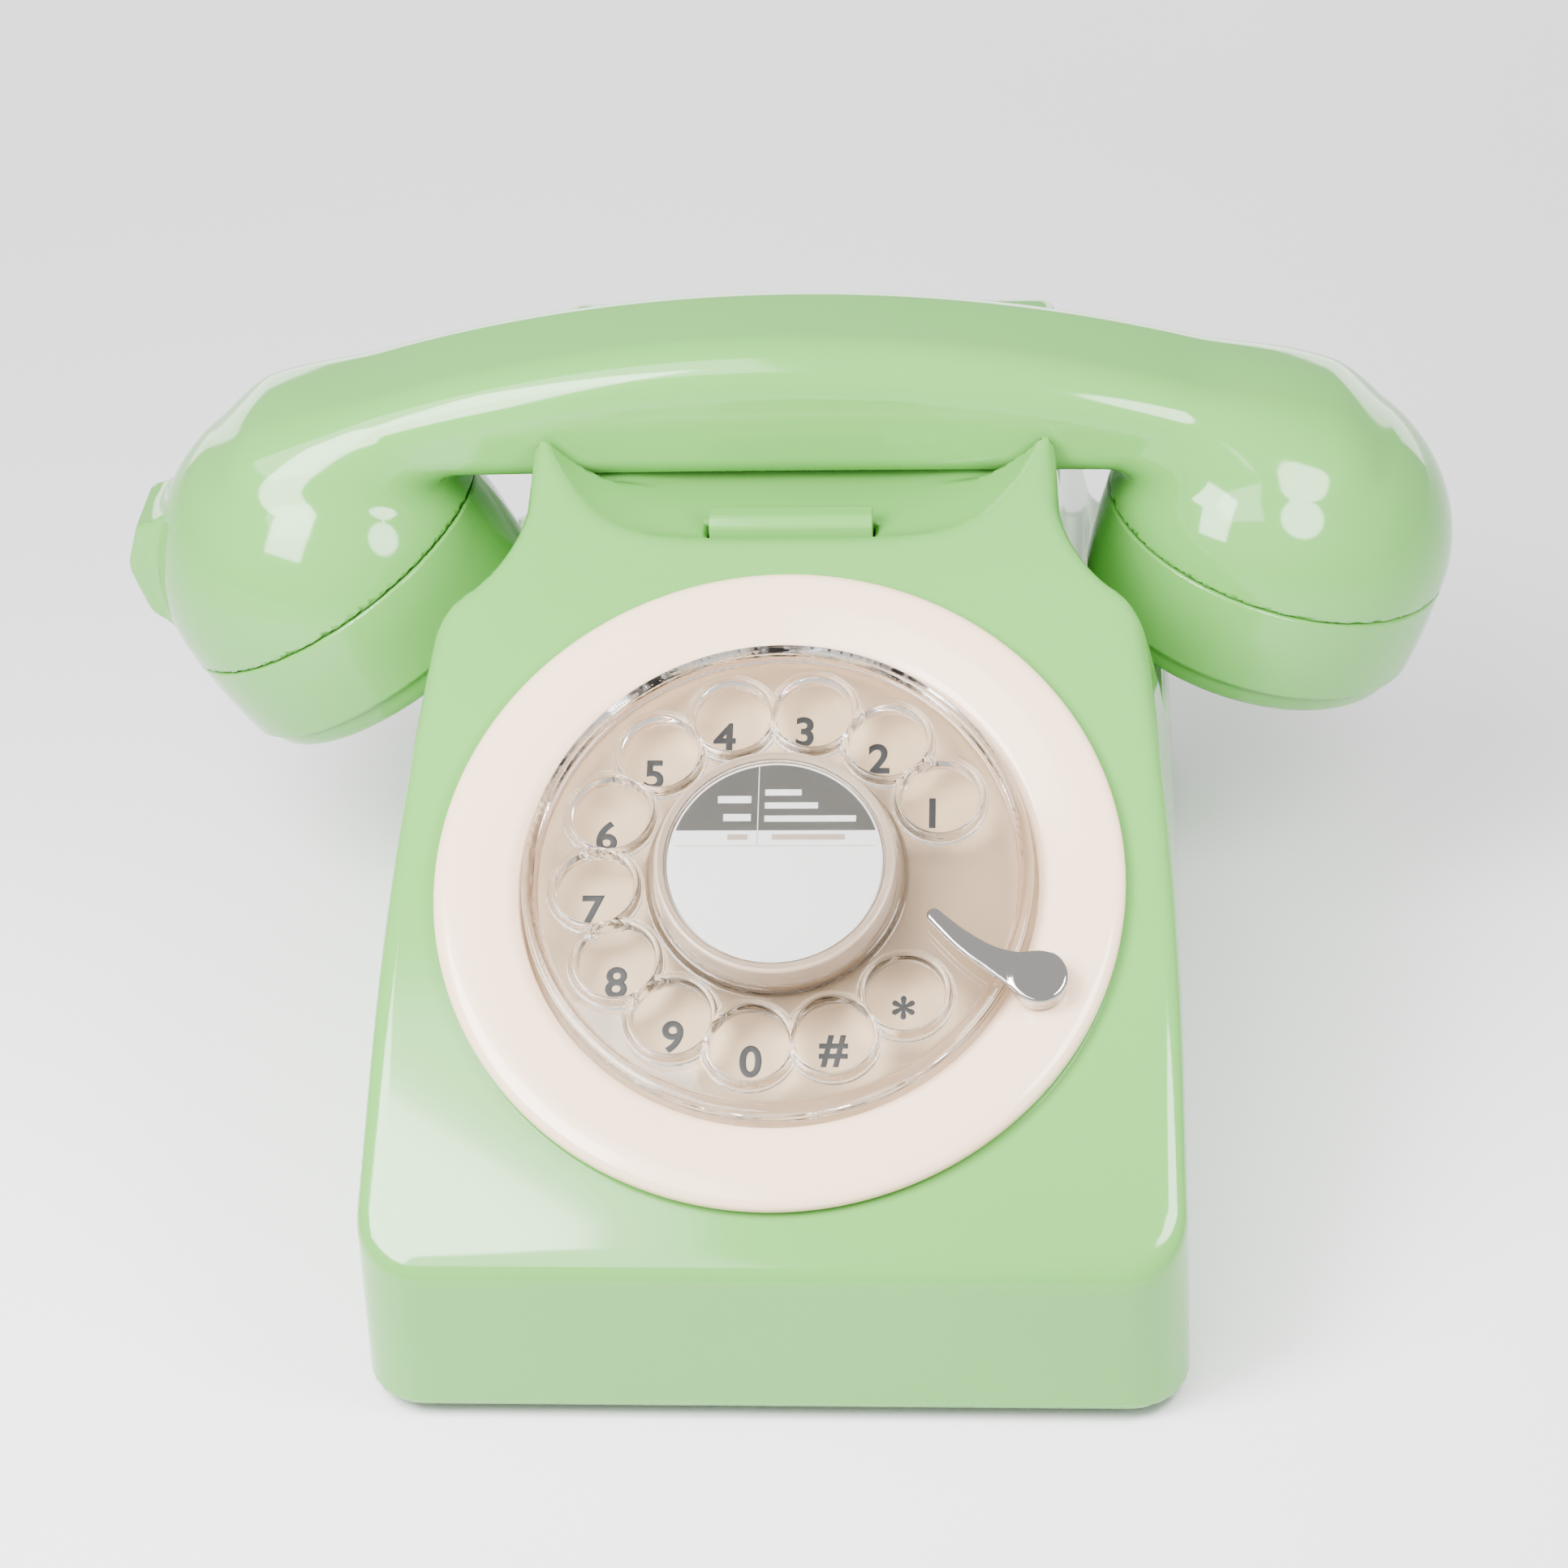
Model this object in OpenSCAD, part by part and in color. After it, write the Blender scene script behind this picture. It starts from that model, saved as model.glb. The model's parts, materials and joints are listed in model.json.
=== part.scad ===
// Rotary desk telephone. Millimetres, +Z up, front towards -Y.
// Origin: middle of the overall width and depth, on the surface that the feet stand on.

/* [Case] */
// Width of the case at its foot
case_w = 138; // [130:1:166]
// Depth of the case, front to back
case_d = 204; // [200:1:245]
// Height of the front apron, up to the crease
apron_h = 32.4; // [30:0.2:39]
// Tilt of the dial face from level
face_tilt = 30.6; // [29:0.2:32]
// Wall thickness of the moulding
wall = 2.8; // [2:0.1:3.4]
// Plan radius of the case corners
corner_r = 11; // [9:0.5:16]
// Width of the neck that carries the four horns
neck_w = 95.4; // [86:0.2:98]
// Width of the shoulders, across their corners
shoulder_w = 121.4; // [110:0.2:124]
// Height of the low deck under the handset's cups
deck_z = 60; // [50:1:62]

/* [Dial] */
// Distance of the dial's centre up the face from the crease
dial_up = 68.5; // [66:0.5:70]
// Outer radius of the cream surround
surround_r = 58.3; // [50:0.1:60]
// Outer radius of the clear finger wheel
wheel_r = 43; // [40:0.1:44]
// Radius of the circle that the finger holes lie on
hole_circle_r = 30.6; // [30:0.1:32]
// Radius of a finger hole
hole_r = 6.55; // [5.5:0.05:6.8]
// Number of finger holes
holes = 12; // [10:1:12]
// Angle of the first finger hole, from the right
first_hole = 27.4; // [20:0.1:30]
// Angle between two finger holes
hole_step = 26.2; // [25:0.1:27]
// Angle of the finger stop's foot, from the right
stop_angle = -24; // [-30:1:-20]
// Radius of the label in the middle
label_r = 18; // [15:0.1:19]

/* [Handset] */
// Sideways distance from the middle to each cup
cup_x = 88; // [84:0.5:100]
// Radius of the cups at their seams
cup_r = 32.2; // [28:0.1:32.4]
// Height of the seam of the mouthpiece cup
mouth_z = 76.2; // [74:0.2:90]
// Height of the seam of the earpiece cup
ear_z = 81.6; // [78:0.2:95]
// Lean of the mouthpiece cup
mouth_lean = 30; // [24:1:34]
// Lean of the earpiece cup
ear_lean = 16; // [10:1:24]
// Front-to-back width of the grip
grip_w = 32; // [26:0.5:34]
// Thickness of the grip
grip_t = 25; // [20:0.5:30]
// Radius of the grip's long upper curve
arch_r = 265; // [250:5:340]
// How far the handset lies to the right of the middle
handset_dx = -1; // [-2:0.1:2]

/* [Works] */
// Radius of each gong
gong_r = 22; // [18:0.5:23]
// Travel of the cradle plunger
plunger_travel = 4; // [2:0.5:4.4]
// Number of teeth on the dial's main gear
main_teeth = 48; // [48:1:48]
// Gap of a running fit
run_gap = 0.05; // [0.02:0.01:0.09]
// Gap between pieces that move past each other
clear_gap = 0.35; // [0.3:0.05:0.6]

/* [Hidden] */
$fn = 96;

green = [0.62, 0.79, 0.58];
steel = [0.72, 0.73, 0.74];
brass = [0.80, 0.66, 0.36];
black = [0.10, 0.10, 0.11];

// Case, in side view: the face rises from the crease at the front
front_y = -case_d / 2;
back_y = case_d / 2;
foot_h = 2.5;
plate_t = 2;
shell_z = foot_h + 0.5;
floor_z = foot_h + plate_t;
function face_y(s) = front_y + s * cos(face_tilt);
function face_z(s) = apron_h + s * sin(face_tilt);
shoulder_s = 122.2;
neck_s = 133.2;
horn_s = 155.5;
shoulder_y = face_y(shoulder_s);
neck_y = face_y(neck_s);
horn_y = face_y(horn_s);
horn_z = face_z(horn_s);
seat_z = horn_z - 10.8;
dish_z = seat_z - 2.4;
seat_y = horn_y + 1.6;
grip_y = seat_y + grip_w / 2 + 0.6;
back_horn_y = seat_y + 45;

// Dial, in its own frame: +Z out of the face, +Y up the face
dial_y = face_y(dial_up);
dial_z = face_z(dial_up);
opening_r = surround_r - 6.1;
plate_top = -4.2;
plate_under = plate_top - 1;
frame_t = 2;
frame_under = plate_under - frame_t;
back_top = -24.5;
back_under = back_top - 1.5;
shaft_r = 3;
spindle_r = 1.2;
tooth_module = 0.8;
main_pitch_r = main_teeth * tooth_module / 2;
pinion_teeth = main_teeth / 4;
pinion_pitch_r = pinion_teeth * tooth_module / 2;
wheel_teeth = 40;
fine_module = 0.6;
wheel_pitch_r = wheel_teeth * fine_module / 2;
gov_teeth = 10;
gov_pitch_r = gov_teeth * fine_module / 2;
pulse_angle = 160;
pulse_r = main_pitch_r + pinion_pitch_r;
pulse_at = [pulse_r * cos(pulse_angle), pulse_r * sin(pulse_angle)];
gov_angle = 265;
gov_at = pulse_at + (wheel_pitch_r + gov_pitch_r) * [cos(gov_angle), sin(gov_angle)];
pillar_r = 28;
pillar_angles = [100, 230, 345];
lug_angles = [30, 150, 270];
lug_r = opening_r + 3.8;
stop_r = wheel_r + 5;
stop_foot = [stop_r * cos(stop_angle), stop_r * sin(stop_angle)];
stop_leg_r = 2.6;

// Cradle works
bar_w = 29;
bar_d = 5;
bar_y = neck_y + 4.4;
bar_top = dish_z + 4.3;
pad_w = 18;
pad_y = grip_y - 2;
pad_d = 8;
bridge_top = dish_z - wall - plunger_travel - 0.6;
bridge_t = 3;
pin_y = grip_y + 12;
pin_z = bridge_top - bridge_t - 4;
tower_x = 13;
tower_y = [24, 56];
tower_t = 1.5;
cross_z = pin_z - 15;

// Ringer
gong_x = gong_r + 6;
gong_y = back_y - gong_r - 6;
gong_z = floor_z + 8;
gong_h = 16;
gong_t = 1.6;
hammer_y = gong_y;
hammer_z = gong_z + 4;
clapper_y = gong_y - 28;

// Board and sockets
board_z = floor_z + 4;
board_w = 92;
board_d = 58;
board_y = front_y + wall + 6 + board_d / 2;
socket_d = 11;
socket_h = 12;
socket_w = 13.4;
cord_socket_w = 11;
cord_socket_x = -(case_w / 2 - 21.1);

module rounded_rect(w, d, r) {
  square([w - 2 * r, d], center = true);
  square([w, d - 2 * r], center = true);
  for (x = [-1, 1], y = [-1, 1])
    translate([x * (w / 2 - r), y * (d / 2 - r)]) circle(r);
}

// Places a shape on the tilted dial axis
module on_dial() {
  translate([0, dial_y, dial_z]) rotate([face_tilt, 0, 0]) children();
}

// A ring from its two radii and its two heights
module ring(inner, outer, low, high) {
  translate([0, 0, low]) difference() {
    cylinder(r = outer, h = high - low);
    translate([0, 0, -1]) cylinder(r = inner, h = high - low + 2);
  }
}

module disc(r, low, high) {
  translate([0, 0, low]) cylinder(r = r, h = high - low);
}

// Extrudes a side view, drawn as [y, z], along X to both sides
module side_prism(points, width) {
  translate([-width / 2, 0, 0]) rotate([90, 0, 90]) linear_extrude(height = width) polygon(points);
}

// Extrudes a front view, drawn as [x, z], along Y
module front_prism(points, y0, y1) {
  translate([0, y1, 0]) rotate([90, 0, 0]) linear_extrude(height = y1 - y0) polygon(points);
}

// Height of the face plane, sunk by i, at a given y
function face_at(y, i) = apron_h + (y - front_y) * tan(face_tilt) - i / cos(face_tilt);

// Half outline of the case from the front, sunk by i
function half_front(i) = [
  [case_w / 2 - i, 0], [case_w / 2 - 1.4 - i, apron_h], [case_w / 2 - 1.4 - i, 52],
  [case_w / 2 - 2.6 - i, 70], [shoulder_w / 2 - i, face_z(shoulder_s) - 0.5 * i],
  [neck_w / 2 - i, face_z(neck_s) - i], [neck_w / 2 - 2.4 - i, horn_z + 1]];
function mirror_points(p) = [for (i = [len(p) - 1:-1:0]) [-p[i][0], p[i][1]]];

// Wide part of the case: face, shoulders and low deck
function body_side(i, low) = [
  [front_y + i, low], [front_y + i, face_at(front_y + i, i)],
  [neck_y, face_at(neck_y, i)], [neck_y + 12 - i, deck_z - i],
  [back_y - 6 - i, deck_z - 4 - i], [back_y - i, deck_z - 12 - i], [back_y - i, low]];

// Narrow part: the neck with its front and back horns
function neck_side(i) = [
  [neck_y - 6, deck_z - 20], [neck_y - 6, face_at(neck_y - 6, i)],
  [horn_y - i, face_at(horn_y - i, i)], [seat_y - i, face_at(horn_y - i, i)],
  [seat_y - i, seat_z - i], [back_horn_y - 9 + i, seat_z - i], [back_horn_y - 2 + i, horn_z - 1 - i],
  [back_horn_y + 7 - i, horn_z - 1 - i], [back_horn_y + 10 - i, horn_z - 5 - i],
  [back_y - 6 - i, deck_z - 4 - i], [back_y - 8 - i, deck_z - 20]];

// Room for a cup beside the neck, on the side given by sx, 1 or -1
module cup_recess(sx, i) {
  x0 = neck_w / 2 - i;
  x1 = shoulder_w / 2;
  corners = [[x0, neck_y + 1 - i], [x1, shoulder_y + 1 - i], [case_w, shoulder_y + 1 - i],
    [case_w, back_y + 20], [x0, back_y + 20]];
  translate([0, 0, deck_z - i]) linear_extrude(height = 80)
    polygon([for (c = corners) [sx * c[0], c[1]]]);
}

// Dish between the horns, open to the front, with a curved floor
module dish(i) {
  rim = horn_z + 1;
  half = neck_w / 2 - 2.9 + i;
  front_prism([
    [-half, 140], [-half, rim - i], [-half + 7, seat_z + 3.6 - i], [-half + 16, seat_z - 0.6 - i],
    [-half + 28, dish_z + 0.4 - i], [0, dish_z - i], [half - 28, dish_z + 0.4 - i],
    [half - 16, seat_z - 0.6 - i], [half - 7, seat_z + 3.6 - i], [half, rim - i], [half, 140]],
    neck_y - 20, back_horn_y - 6 - i);
}

// Finger recess in the back of the neck, for carrying
carry_half = 34;
carry_low = deck_z + 6;
carry_high = horn_z - 13;
carry_y = back_horn_y + 1;
module carry_recess(i) {
  translate([-carry_half - i, carry_y - i, carry_low - i])
    cube([2 * carry_half + 2 * i, 60, carry_high - carry_low + 2 * i]);
}

// Outer form of the case, sunk by i all over
module case_form(i, low) {
  front = half_front(i);
  difference() {
    intersection() {
      translate([0, 0, low]) linear_extrude(height = 130)
        rounded_rect(case_w - 2 * i, case_d - 2 * i, corner_r - i);
      front_prism(concat(front, mirror_points(front)), front_y - 1, back_y + 1);
      union() {
        side_prism(body_side(i, low), case_w + 2);
        side_prism(neck_side(i), neck_w - 2 * i);
      }
    }
    cup_recess(1, i);
    cup_recess(-1, i);
    dish(i);
    carry_recess(i);
  }
}

boss_x = case_w / 2 - 11;
boss_y = case_d / 2 - 12;
module at_bosses() {
  for (x = [-1, 1], y = [-1, 1]) translate([x * boss_x, y * boss_y, 0]) children();
}

module case_shell() {
  color(green) difference() {
    union() {
      difference() {
        case_form(0, shell_z);
        case_form(wall, shell_z - 2);
      }
      intersection() {
        case_form(0.5, shell_z + 1);
        at_bosses() disc(4.2, floor_z + 0.1, deck_z);
      }
      on_dial() for (a = lug_angles) rotate(a) translate([lug_r, 0, 0]) disc(3.4, frame_under + frame_t, -1);
    }
    on_dial() disc(opening_r + 0.15, -9, 20);
    on_dial() for (a = lug_angles) rotate(a) translate([lug_r, 0, 0]) disc(1.6, -9, -0.9);
    at_bosses() disc(1.6, 0, floor_z + 10);
    translate([-bar_w / 2 - clear_gap, bar_y - clear_gap, dish_z - 12])
      cube([bar_w + 2 * clear_gap, bar_d + 2 * clear_gap, 30]);
    translate([-pad_w / 2 - clear_gap, pad_y - pad_d / 2 - clear_gap, dish_z - 12])
      cube([pad_w + 2 * clear_gap, pad_d + 2 * clear_gap, 30]);
    socket_hole(0, socket_w + 0.6);
    socket_hole(cord_socket_x, cord_socket_w + 0.6);
  }
}

// Opening in the back wall round a socket
module socket_hole(x, w) {
  translate([x - w / 2, back_y - wall - 2, floor_z - 3]) cube([w, wall + 4, socket_h + 3.2]);
}

module base_plate() {
  color(black) difference() {
    translate([0, 0, foot_h]) linear_extrude(height = plate_t)
      rounded_rect(case_w - 2 * wall - 0.8, case_d - 2 * wall - 0.8, corner_r - wall);
    at_bosses() disc(1.8, 0, floor_z + 1);
    for (x = [-3:3]) translate([x * 9 - 1.5, gong_y - 12, 0]) cube([3, 24, floor_z + 1]);
  }
}

foot_r = 8;
module rubber_feet() {
  color(black) for (x = [-1, 1], y = [-1, 1])
    translate([x * (boss_x - 14), y * (boss_y - 12), 0]) disc(foot_r, 0, foot_h);
}

module base_screws() {
  color(steel) at_bosses() {
    disc(3, foot_h - 1.6, foot_h);
    disc(1.5, foot_h, floor_z + 9);
  }
}

module dial_surround() {
  inner = wheel_r + 0.6;
  neck = opening_r;
  color([0.98, 0.92, 0.88]) on_dial() difference() {
    rotate_extrude() polygon([
      [inner, plate_top], [neck, plate_top], [neck, 0], [surround_r, 0], [surround_r, 1.3],
      [surround_r - 0.7, 2.1], [surround_r - 3, 2.6], [surround_r - 8, 2.4], [inner + 1.5, 1.2],
      [inner, 0.6]]);
    translate(stop_foot) disc(stop_leg_r + 0.05, plate_top - 1, 6);
  }
}

module number_plate() {
  color([0.84, 0.79, 0.74]) on_dial() ring(5.3, opening_r - 2, plate_under, plate_top);
}

// Comma-shaped stop: a round foot, a tapering arm and a small round tip
module finger_stop() {
  tip = [27.6 * cos(stop_angle + 6), 27.6 * sin(stop_angle + 6)];
  along = (tip - stop_foot) / norm(tip - stop_foot);
  across = [-along[1], along[0]];
  low = 5.3;
  high = 6.9;
  color([0.85, 0.86, 0.88]) on_dial() {
    translate([0, 0, low]) linear_extrude(height = high - low) {
      translate(stop_foot) circle(4.6);
      translate(tip) circle(1.3);
      polygon([stop_foot + 4.5 * across, stop_foot - 4.5 * across, stop_foot + 9 * along - 2.8 * across,
        tip - 1.3 * across, tip + 1.3 * across, stop_foot + 9 * along + 1.6 * across]);
    }
    translate(stop_foot) disc(stop_leg_r, plate_top, high - 0.1);
  }
}

module dial_frame() {
  color(steel) on_dial() difference() {
    union() {
      disc(opening_r - 3, frame_under, plate_under);
      disc(4.8, frame_under - 2.7, plate_top + 0.6);
      for (a = lug_angles) rotate(a) {
        translate([lug_r, 0, 0]) disc(3.4, frame_under, plate_under);
        translate([lug_r - 12, -3.4, frame_under]) cube([12, 6.8, frame_t]);
      }
    }
    disc(shaft_r + run_gap, frame_under - 4, 2);
    for (p = [pulse_at, gov_at]) translate([p[0], p[1], frame_under - 1])
      cylinder(r = spindle_r + run_gap, h = frame_t + 2);
    for (a = lug_angles) rotate(a) translate([lug_r, 0, 0]) disc(1.6, frame_under - 1, 0);
  }
}

module dial_screws() {
  color(steel) on_dial() for (a = lug_angles) rotate(a) translate([lug_r, 0, 0]) {
    disc(2.8, frame_under - 1.8, frame_under);
    disc(1.5, frame_under, -1.2);
  }
}

module dial_pillars() {
  color(brass) on_dial() for (a = pillar_angles) rotate(a) translate([pillar_r, 0, 0])
    disc(2.4, back_top, frame_under);
}

module dial_back_plate() {
  color(steel) on_dial() difference() {
    disc(34, back_under, back_top);
    disc(shaft_r + run_gap, back_under - 1, back_top + 1);
    for (p = [pulse_at, gov_at]) translate([p[0], p[1], back_under - 1])
      cylinder(r = spindle_r + run_gap, h = 4);
  }
}

module pillar_screws() {
  color(steel) on_dial() for (a = pillar_angles) rotate(a) translate([pillar_r, 0, 0])
    disc(2, back_under - 1.4, back_under);
}

// Flat spiral between the frame and the main gear
module mainspring() {
  turns = 3.5;
  steps = 70;
  first = 6.4;
  last = 15.5;
  strip = 0.6;
  function at(k, extra) = let (u = k / steps, a = 360 * turns * u, r = first + (last - first) * u + extra)
    [r * cos(a), r * sin(a)];
  color([0.35, 0.40, 0.50]) on_dial() translate([0, 0, frame_under - 2.6])
    linear_extrude(height = 2.2)
      polygon(concat([for (k = [0:steps]) at(k, strip)], [for (k = [steps:-1:0]) at(k, 0)]));
}

gov_cup_r = 8.6;
module governor_cup() {
  color(brass) on_dial() translate([gov_at[0], gov_at[1], 0]) difference() {
    disc(gov_cup_r, back_top, back_top + 5.6);
    disc(gov_cup_r - 1, back_top + 0.8, back_top + 7);
    disc(spindle_r + run_gap, back_top - 1, back_top + 2);
  }
}

module pulse_contacts() {
  block = [27.5 * cos(112), 27.5 * sin(112)];
  color([0.35, 0.2, 0.12]) on_dial() {
    translate([block[0] - 3, block[1] - 3, back_top]) cube([6, 6, 9]);
    for (k = [0, 1]) translate([block[0] - 13, block[1] - 2 + 2.4 * k, back_top + 4])
      cube([11, 0.4, 3]);
  }
}

// A spur gear with straight-sided teeth that leave room on each side
module gear(teeth, mod, turn, low, high, bore) {
  root = mod * (teeth / 2 - 1.15);
  tip = mod * (teeth / 2 + 0.85);
  step = 360 / teeth;
  difference() {
    translate([0, 0, low]) rotate(turn) linear_extrude(height = high - low)
      polygon([for (k = [0:teeth - 1]) each [
        for (c = [[root, -0.29], [tip, -0.12], [tip, 0.12], [root, 0.29]])
          c[0] * [cos((k + c[1]) * step), sin((k + c[1]) * step)]]]);
    disc(bore, low - 1, high + 1);
  }
}

module main_shaft() {
  color(steel) on_dial() disc(shaft_r, back_under - 1.5, 3.2);
}

main_low = frame_under - 4.9;
module main_gear() {
  color(brass) on_dial() {
    gear(main_teeth, tooth_module, pulse_angle, main_low, main_low + 1.6, shaft_r);
    ring(shaft_r, 6, main_low - 3, main_low);
  }
}

fine_low = -16.2;
module pulse_shaft() {
  color(steel) on_dial() translate([pulse_at[0], pulse_at[1], 0])
    disc(spindle_r, back_under - 1, plate_under - 0.3);
}

module pulse_wheel() {
  color(brass) on_dial() translate([pulse_at[0], pulse_at[1], 0]) {
    gear(pinion_teeth, tooth_module, pulse_angle + 180 + 180 / pinion_teeth,
      main_low - 0.3, main_low + 1.9, spindle_r);
    gear(wheel_teeth, fine_module, gov_angle, fine_low, fine_low + 1.2, spindle_r);
    ring(spindle_r, 2.4, fine_low + 1.2, main_low - 0.3);
  }
}

module pulse_cam() {
  color([0.9, 0.88, 0.8]) on_dial() translate([pulse_at[0], pulse_at[1], fine_low - 3.4]) difference() {
    linear_extrude(height = 2) {
      circle(3.2);
      translate([-4.4, -1.2]) square([8.8, 2.4]);
    }
    disc(spindle_r, -1, 3);
  }
}

module governor_spindle() {
  color(steel) on_dial() translate([gov_at[0], gov_at[1], 0]) {
    disc(spindle_r, back_under - 1, plate_under - 0.3);
    gear(gov_teeth, fine_module, gov_angle + 180 + 180 / gov_teeth,
      fine_low - 0.2, fine_low + 1.4, spindle_r - 0.2);
  }
}

module governor_weights() {
  color(brass) on_dial() translate([gov_at[0], gov_at[1], 0]) difference() {
    union() {
      for (a = [0, 180]) rotate(a) intersection() {
        disc(gov_cup_r - 1.8, back_top + 1.4, back_top + 5.2);
        translate([3, -4, back_top]) cube([8, 8, 8]);
      }
      translate([-5, -0.9, back_top + 2]) cube([10, 1.8, 2]);
    }
    disc(spindle_r, back_top, back_top + 8);
  }
}

// Finger wheel: a web with a raised rim, a raised band that joins the holes' collars and a raised centre
web_low = 1;
web_high = 3.2;
rim_high = 4.5;
collar_r = hole_r + 1;
past_end = 4;
module at_holes() {
  for (k = [0:holes - 1]) rotate(first_hole + k * hole_step) translate([hole_circle_r, 0, 0]) children();
}
module finger_wheel() {
  color([0.93, 0.92, 0.90, 0.45]) on_dial() difference() {
    union() {
      disc(wheel_r - 0.6, web_low, web_high);
      ring(wheel_r - 1.8, wheel_r, web_low - 0.4, rim_high);
      rotate(first_hole - past_end) rotate_extrude(angle = (holes - 1) * hole_step + 2 * past_end)
        translate([hole_circle_r - collar_r, web_low - 0.6]) square([2 * collar_r, rim_high - web_low + 0.4]);
      for (k = [0, holes - 1]) rotate(first_hole + k * hole_step) translate([hole_circle_r, 0, 0])
        disc(collar_r + 0.3, web_low - 0.5, rim_high - 0.1);
      disc(label_r + 3.6, web_low, rim_high + 0.1);
    }
    at_holes() disc(hole_r, -3, 9);
    disc(label_r + 2.4, web_high, 9);
    disc(shaft_r, -3, 9);
  }
}

module dial_hub() {
  color([0.80, 0.72, 0.64]) on_dial() difference() {
    disc(label_r + 2.2, web_high, 9.6);
    disc(label_r + 0.4, 8.4, 12);
    disc(label_r - 2, web_high + 1.4, 7);
  }
}

module label_card() {
  color([0.95, 0.95, 0.94]) on_dial() disc(label_r, 8.4, 8.9);
}

module label_cover() {
  color([0.95, 0.95, 0.95, 0.3]) on_dial() {
    disc(label_r + 0.3, 8.95, 10.2);
    disc(label_r + 1.6, 9.65, 10.2);
    disc(label_r - 0.4, 10.2, 10.9);
  }
}

// Bar in front of the grip, joined under the dish to a pad below the grip
module hook_plunger() {
  top = bar_top;
  chamfer = 1.4;
  color(green) {
    side_prism([[bar_y, bridge_top - bridge_t], [bar_y + bar_d, bridge_top - bridge_t],
      [bar_y + bar_d, top], [bar_y + chamfer, top], [bar_y, top - chamfer]], bar_w);
    translate([-pad_w / 2 + 3, bar_y, bridge_top - bridge_t])
      cube([pad_w - 6, pad_y - bar_y, bridge_t]);
    translate([-pad_w / 2, pad_y - pad_d / 2, bridge_top - bridge_t])
      cube([pad_w, pad_d, seat_z - 0.2 - bridge_top + bridge_t]);
  }
}

spring_r = 4;
module plunger_spring() {
  low = cross_z + tower_t;
  high = bridge_top - bridge_t;
  turns = 7;
  pitch = (high - low - 0.8) / turns;
  color(steel) translate([0, bar_y + bar_d + spring_r + 3, low + 0.4]) for (k = [0:turns])
    translate([0, 0, k * pitch]) rotate_extrude() translate([spring_r - 0.4, 0]) circle(0.4);
}

module hook_bracket() {
  color(steel) difference() {
    union() {
      for (sx = [-1, 1]) {
        translate([sx * (tower_x - tower_t / 2) - tower_t / 2, tower_y[0], floor_z])
          cube([tower_t, tower_y[1] - tower_y[0], cross_z - floor_z]);
        translate([sx * (tower_x - tower_t / 2) - tower_t / 2, bar_y + 4, cross_z])
          cube([tower_t, pin_y + 5 - bar_y - 4, pin_z + 3.5 - cross_z]);
        translate([sx * (tower_x + 3) - 4, tower_y[0], floor_z]) cube([8, 14, tower_t]);
      }
      translate([-tower_x, bar_y + 4, cross_z]) cube([2 * tower_x, pin_y + 1 - bar_y, tower_t]);
    }
    translate([-30, pin_y, pin_z]) rotate([0, 90, 0]) cylinder(r = 1.5 + run_gap, h = 60);
    for (sx = [-1, 1]) translate([sx * (tower_x + 4), tower_y[0] + 7, 0]) disc(1.6, 0, floor_z + 4);
  }
}

module bracket_screws() {
  color(steel) for (sx = [-1, 1]) translate([sx * (tower_x + 4), tower_y[0] + 7, 0]) {
    disc(2.4, floor_z + tower_t, floor_z + tower_t + 1.4);
    disc(1.5, floor_z, floor_z + tower_t);
  }
}

module hook_pin() {
  color(steel) translate([-tower_x - 1, pin_y, pin_z]) rotate([0, 90, 0])
    cylinder(r = 1.5, h = 2 * tower_x + 2);
}

// Lever under the plunger's bridge; its tail works the switch
module hook_lever() {
  reach = pin_y - bar_y - bar_d - 2 * spring_r - 7;
  color([0.9, 0.9, 0.86]) difference() {
    union() {
      translate([-4, pin_y, pin_z]) rotate([0, 90, 0]) cylinder(r = 3.4, h = 8);
      translate([-4, pin_y - reach, pin_z + 0.6]) cube([8, reach, 2.6]);
      translate([-3, pin_y - 2, pin_z - 9]) cube([6, 3, 9]);
    }
    translate([-20, pin_y, pin_z]) rotate([0, 90, 0]) cylinder(r = 1.5 + run_gap, h = 40);
  }
}

module hook_switch() {
  color(black) translate([-8, pin_y - 24, cross_z + tower_t]) {
    cube([16, 15, 6]);
    translate([1, 15, 1.5]) cube([5, 2, 1]);
    translate([10, 15, 1.5]) cube([5, 2, 1]);
  }
}

// A gong is a shallow cup, open below, on a post
module gong(x) {
  color(brass) translate([x, gong_y, gong_z]) rotate_extrude() polygon([
    [2, gong_h - gong_t], [gong_r - 6, gong_h - gong_t], [gong_r - 2.6, gong_h - 5],
    [gong_r - gong_t, 0], [gong_r, 0], [gong_r - 1, gong_h - 4.4], [gong_r - 5, gong_h],
    [2, gong_h]]);
}
module gong_left() { gong(-gong_x); }
module gong_right() { gong(gong_x); }

module gong_posts() {
  color(steel) for (x = [-gong_x, gong_x]) translate([x, gong_y, 0])
    disc(3.4, floor_z, gong_z + gong_h - gong_t);
}

module gong_screws() {
  color(steel) for (x = [-gong_x, gong_x]) translate([x, gong_y, 0]) {
    disc(1.9, gong_z + gong_h - gong_t, gong_z + gong_h);
    disc(4, gong_z + gong_h, gong_z + gong_h + 1.8);
  }
}

core_y = clapper_y - 20;
module ringer_core() {
  color(steel) difference() {
    union() {
      translate([-10, core_y - 2, floor_z]) cube([20, 2, hammer_z + 8 - floor_z]);
      for (x = [-8, 8]) translate([x - 1.5, core_y, hammer_z - 3]) cube([3, 17.4, 8]);
    }
    translate([-6, core_y - 5, floor_z + 4]) cube([12, 10, 6]);
  }
}

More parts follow.
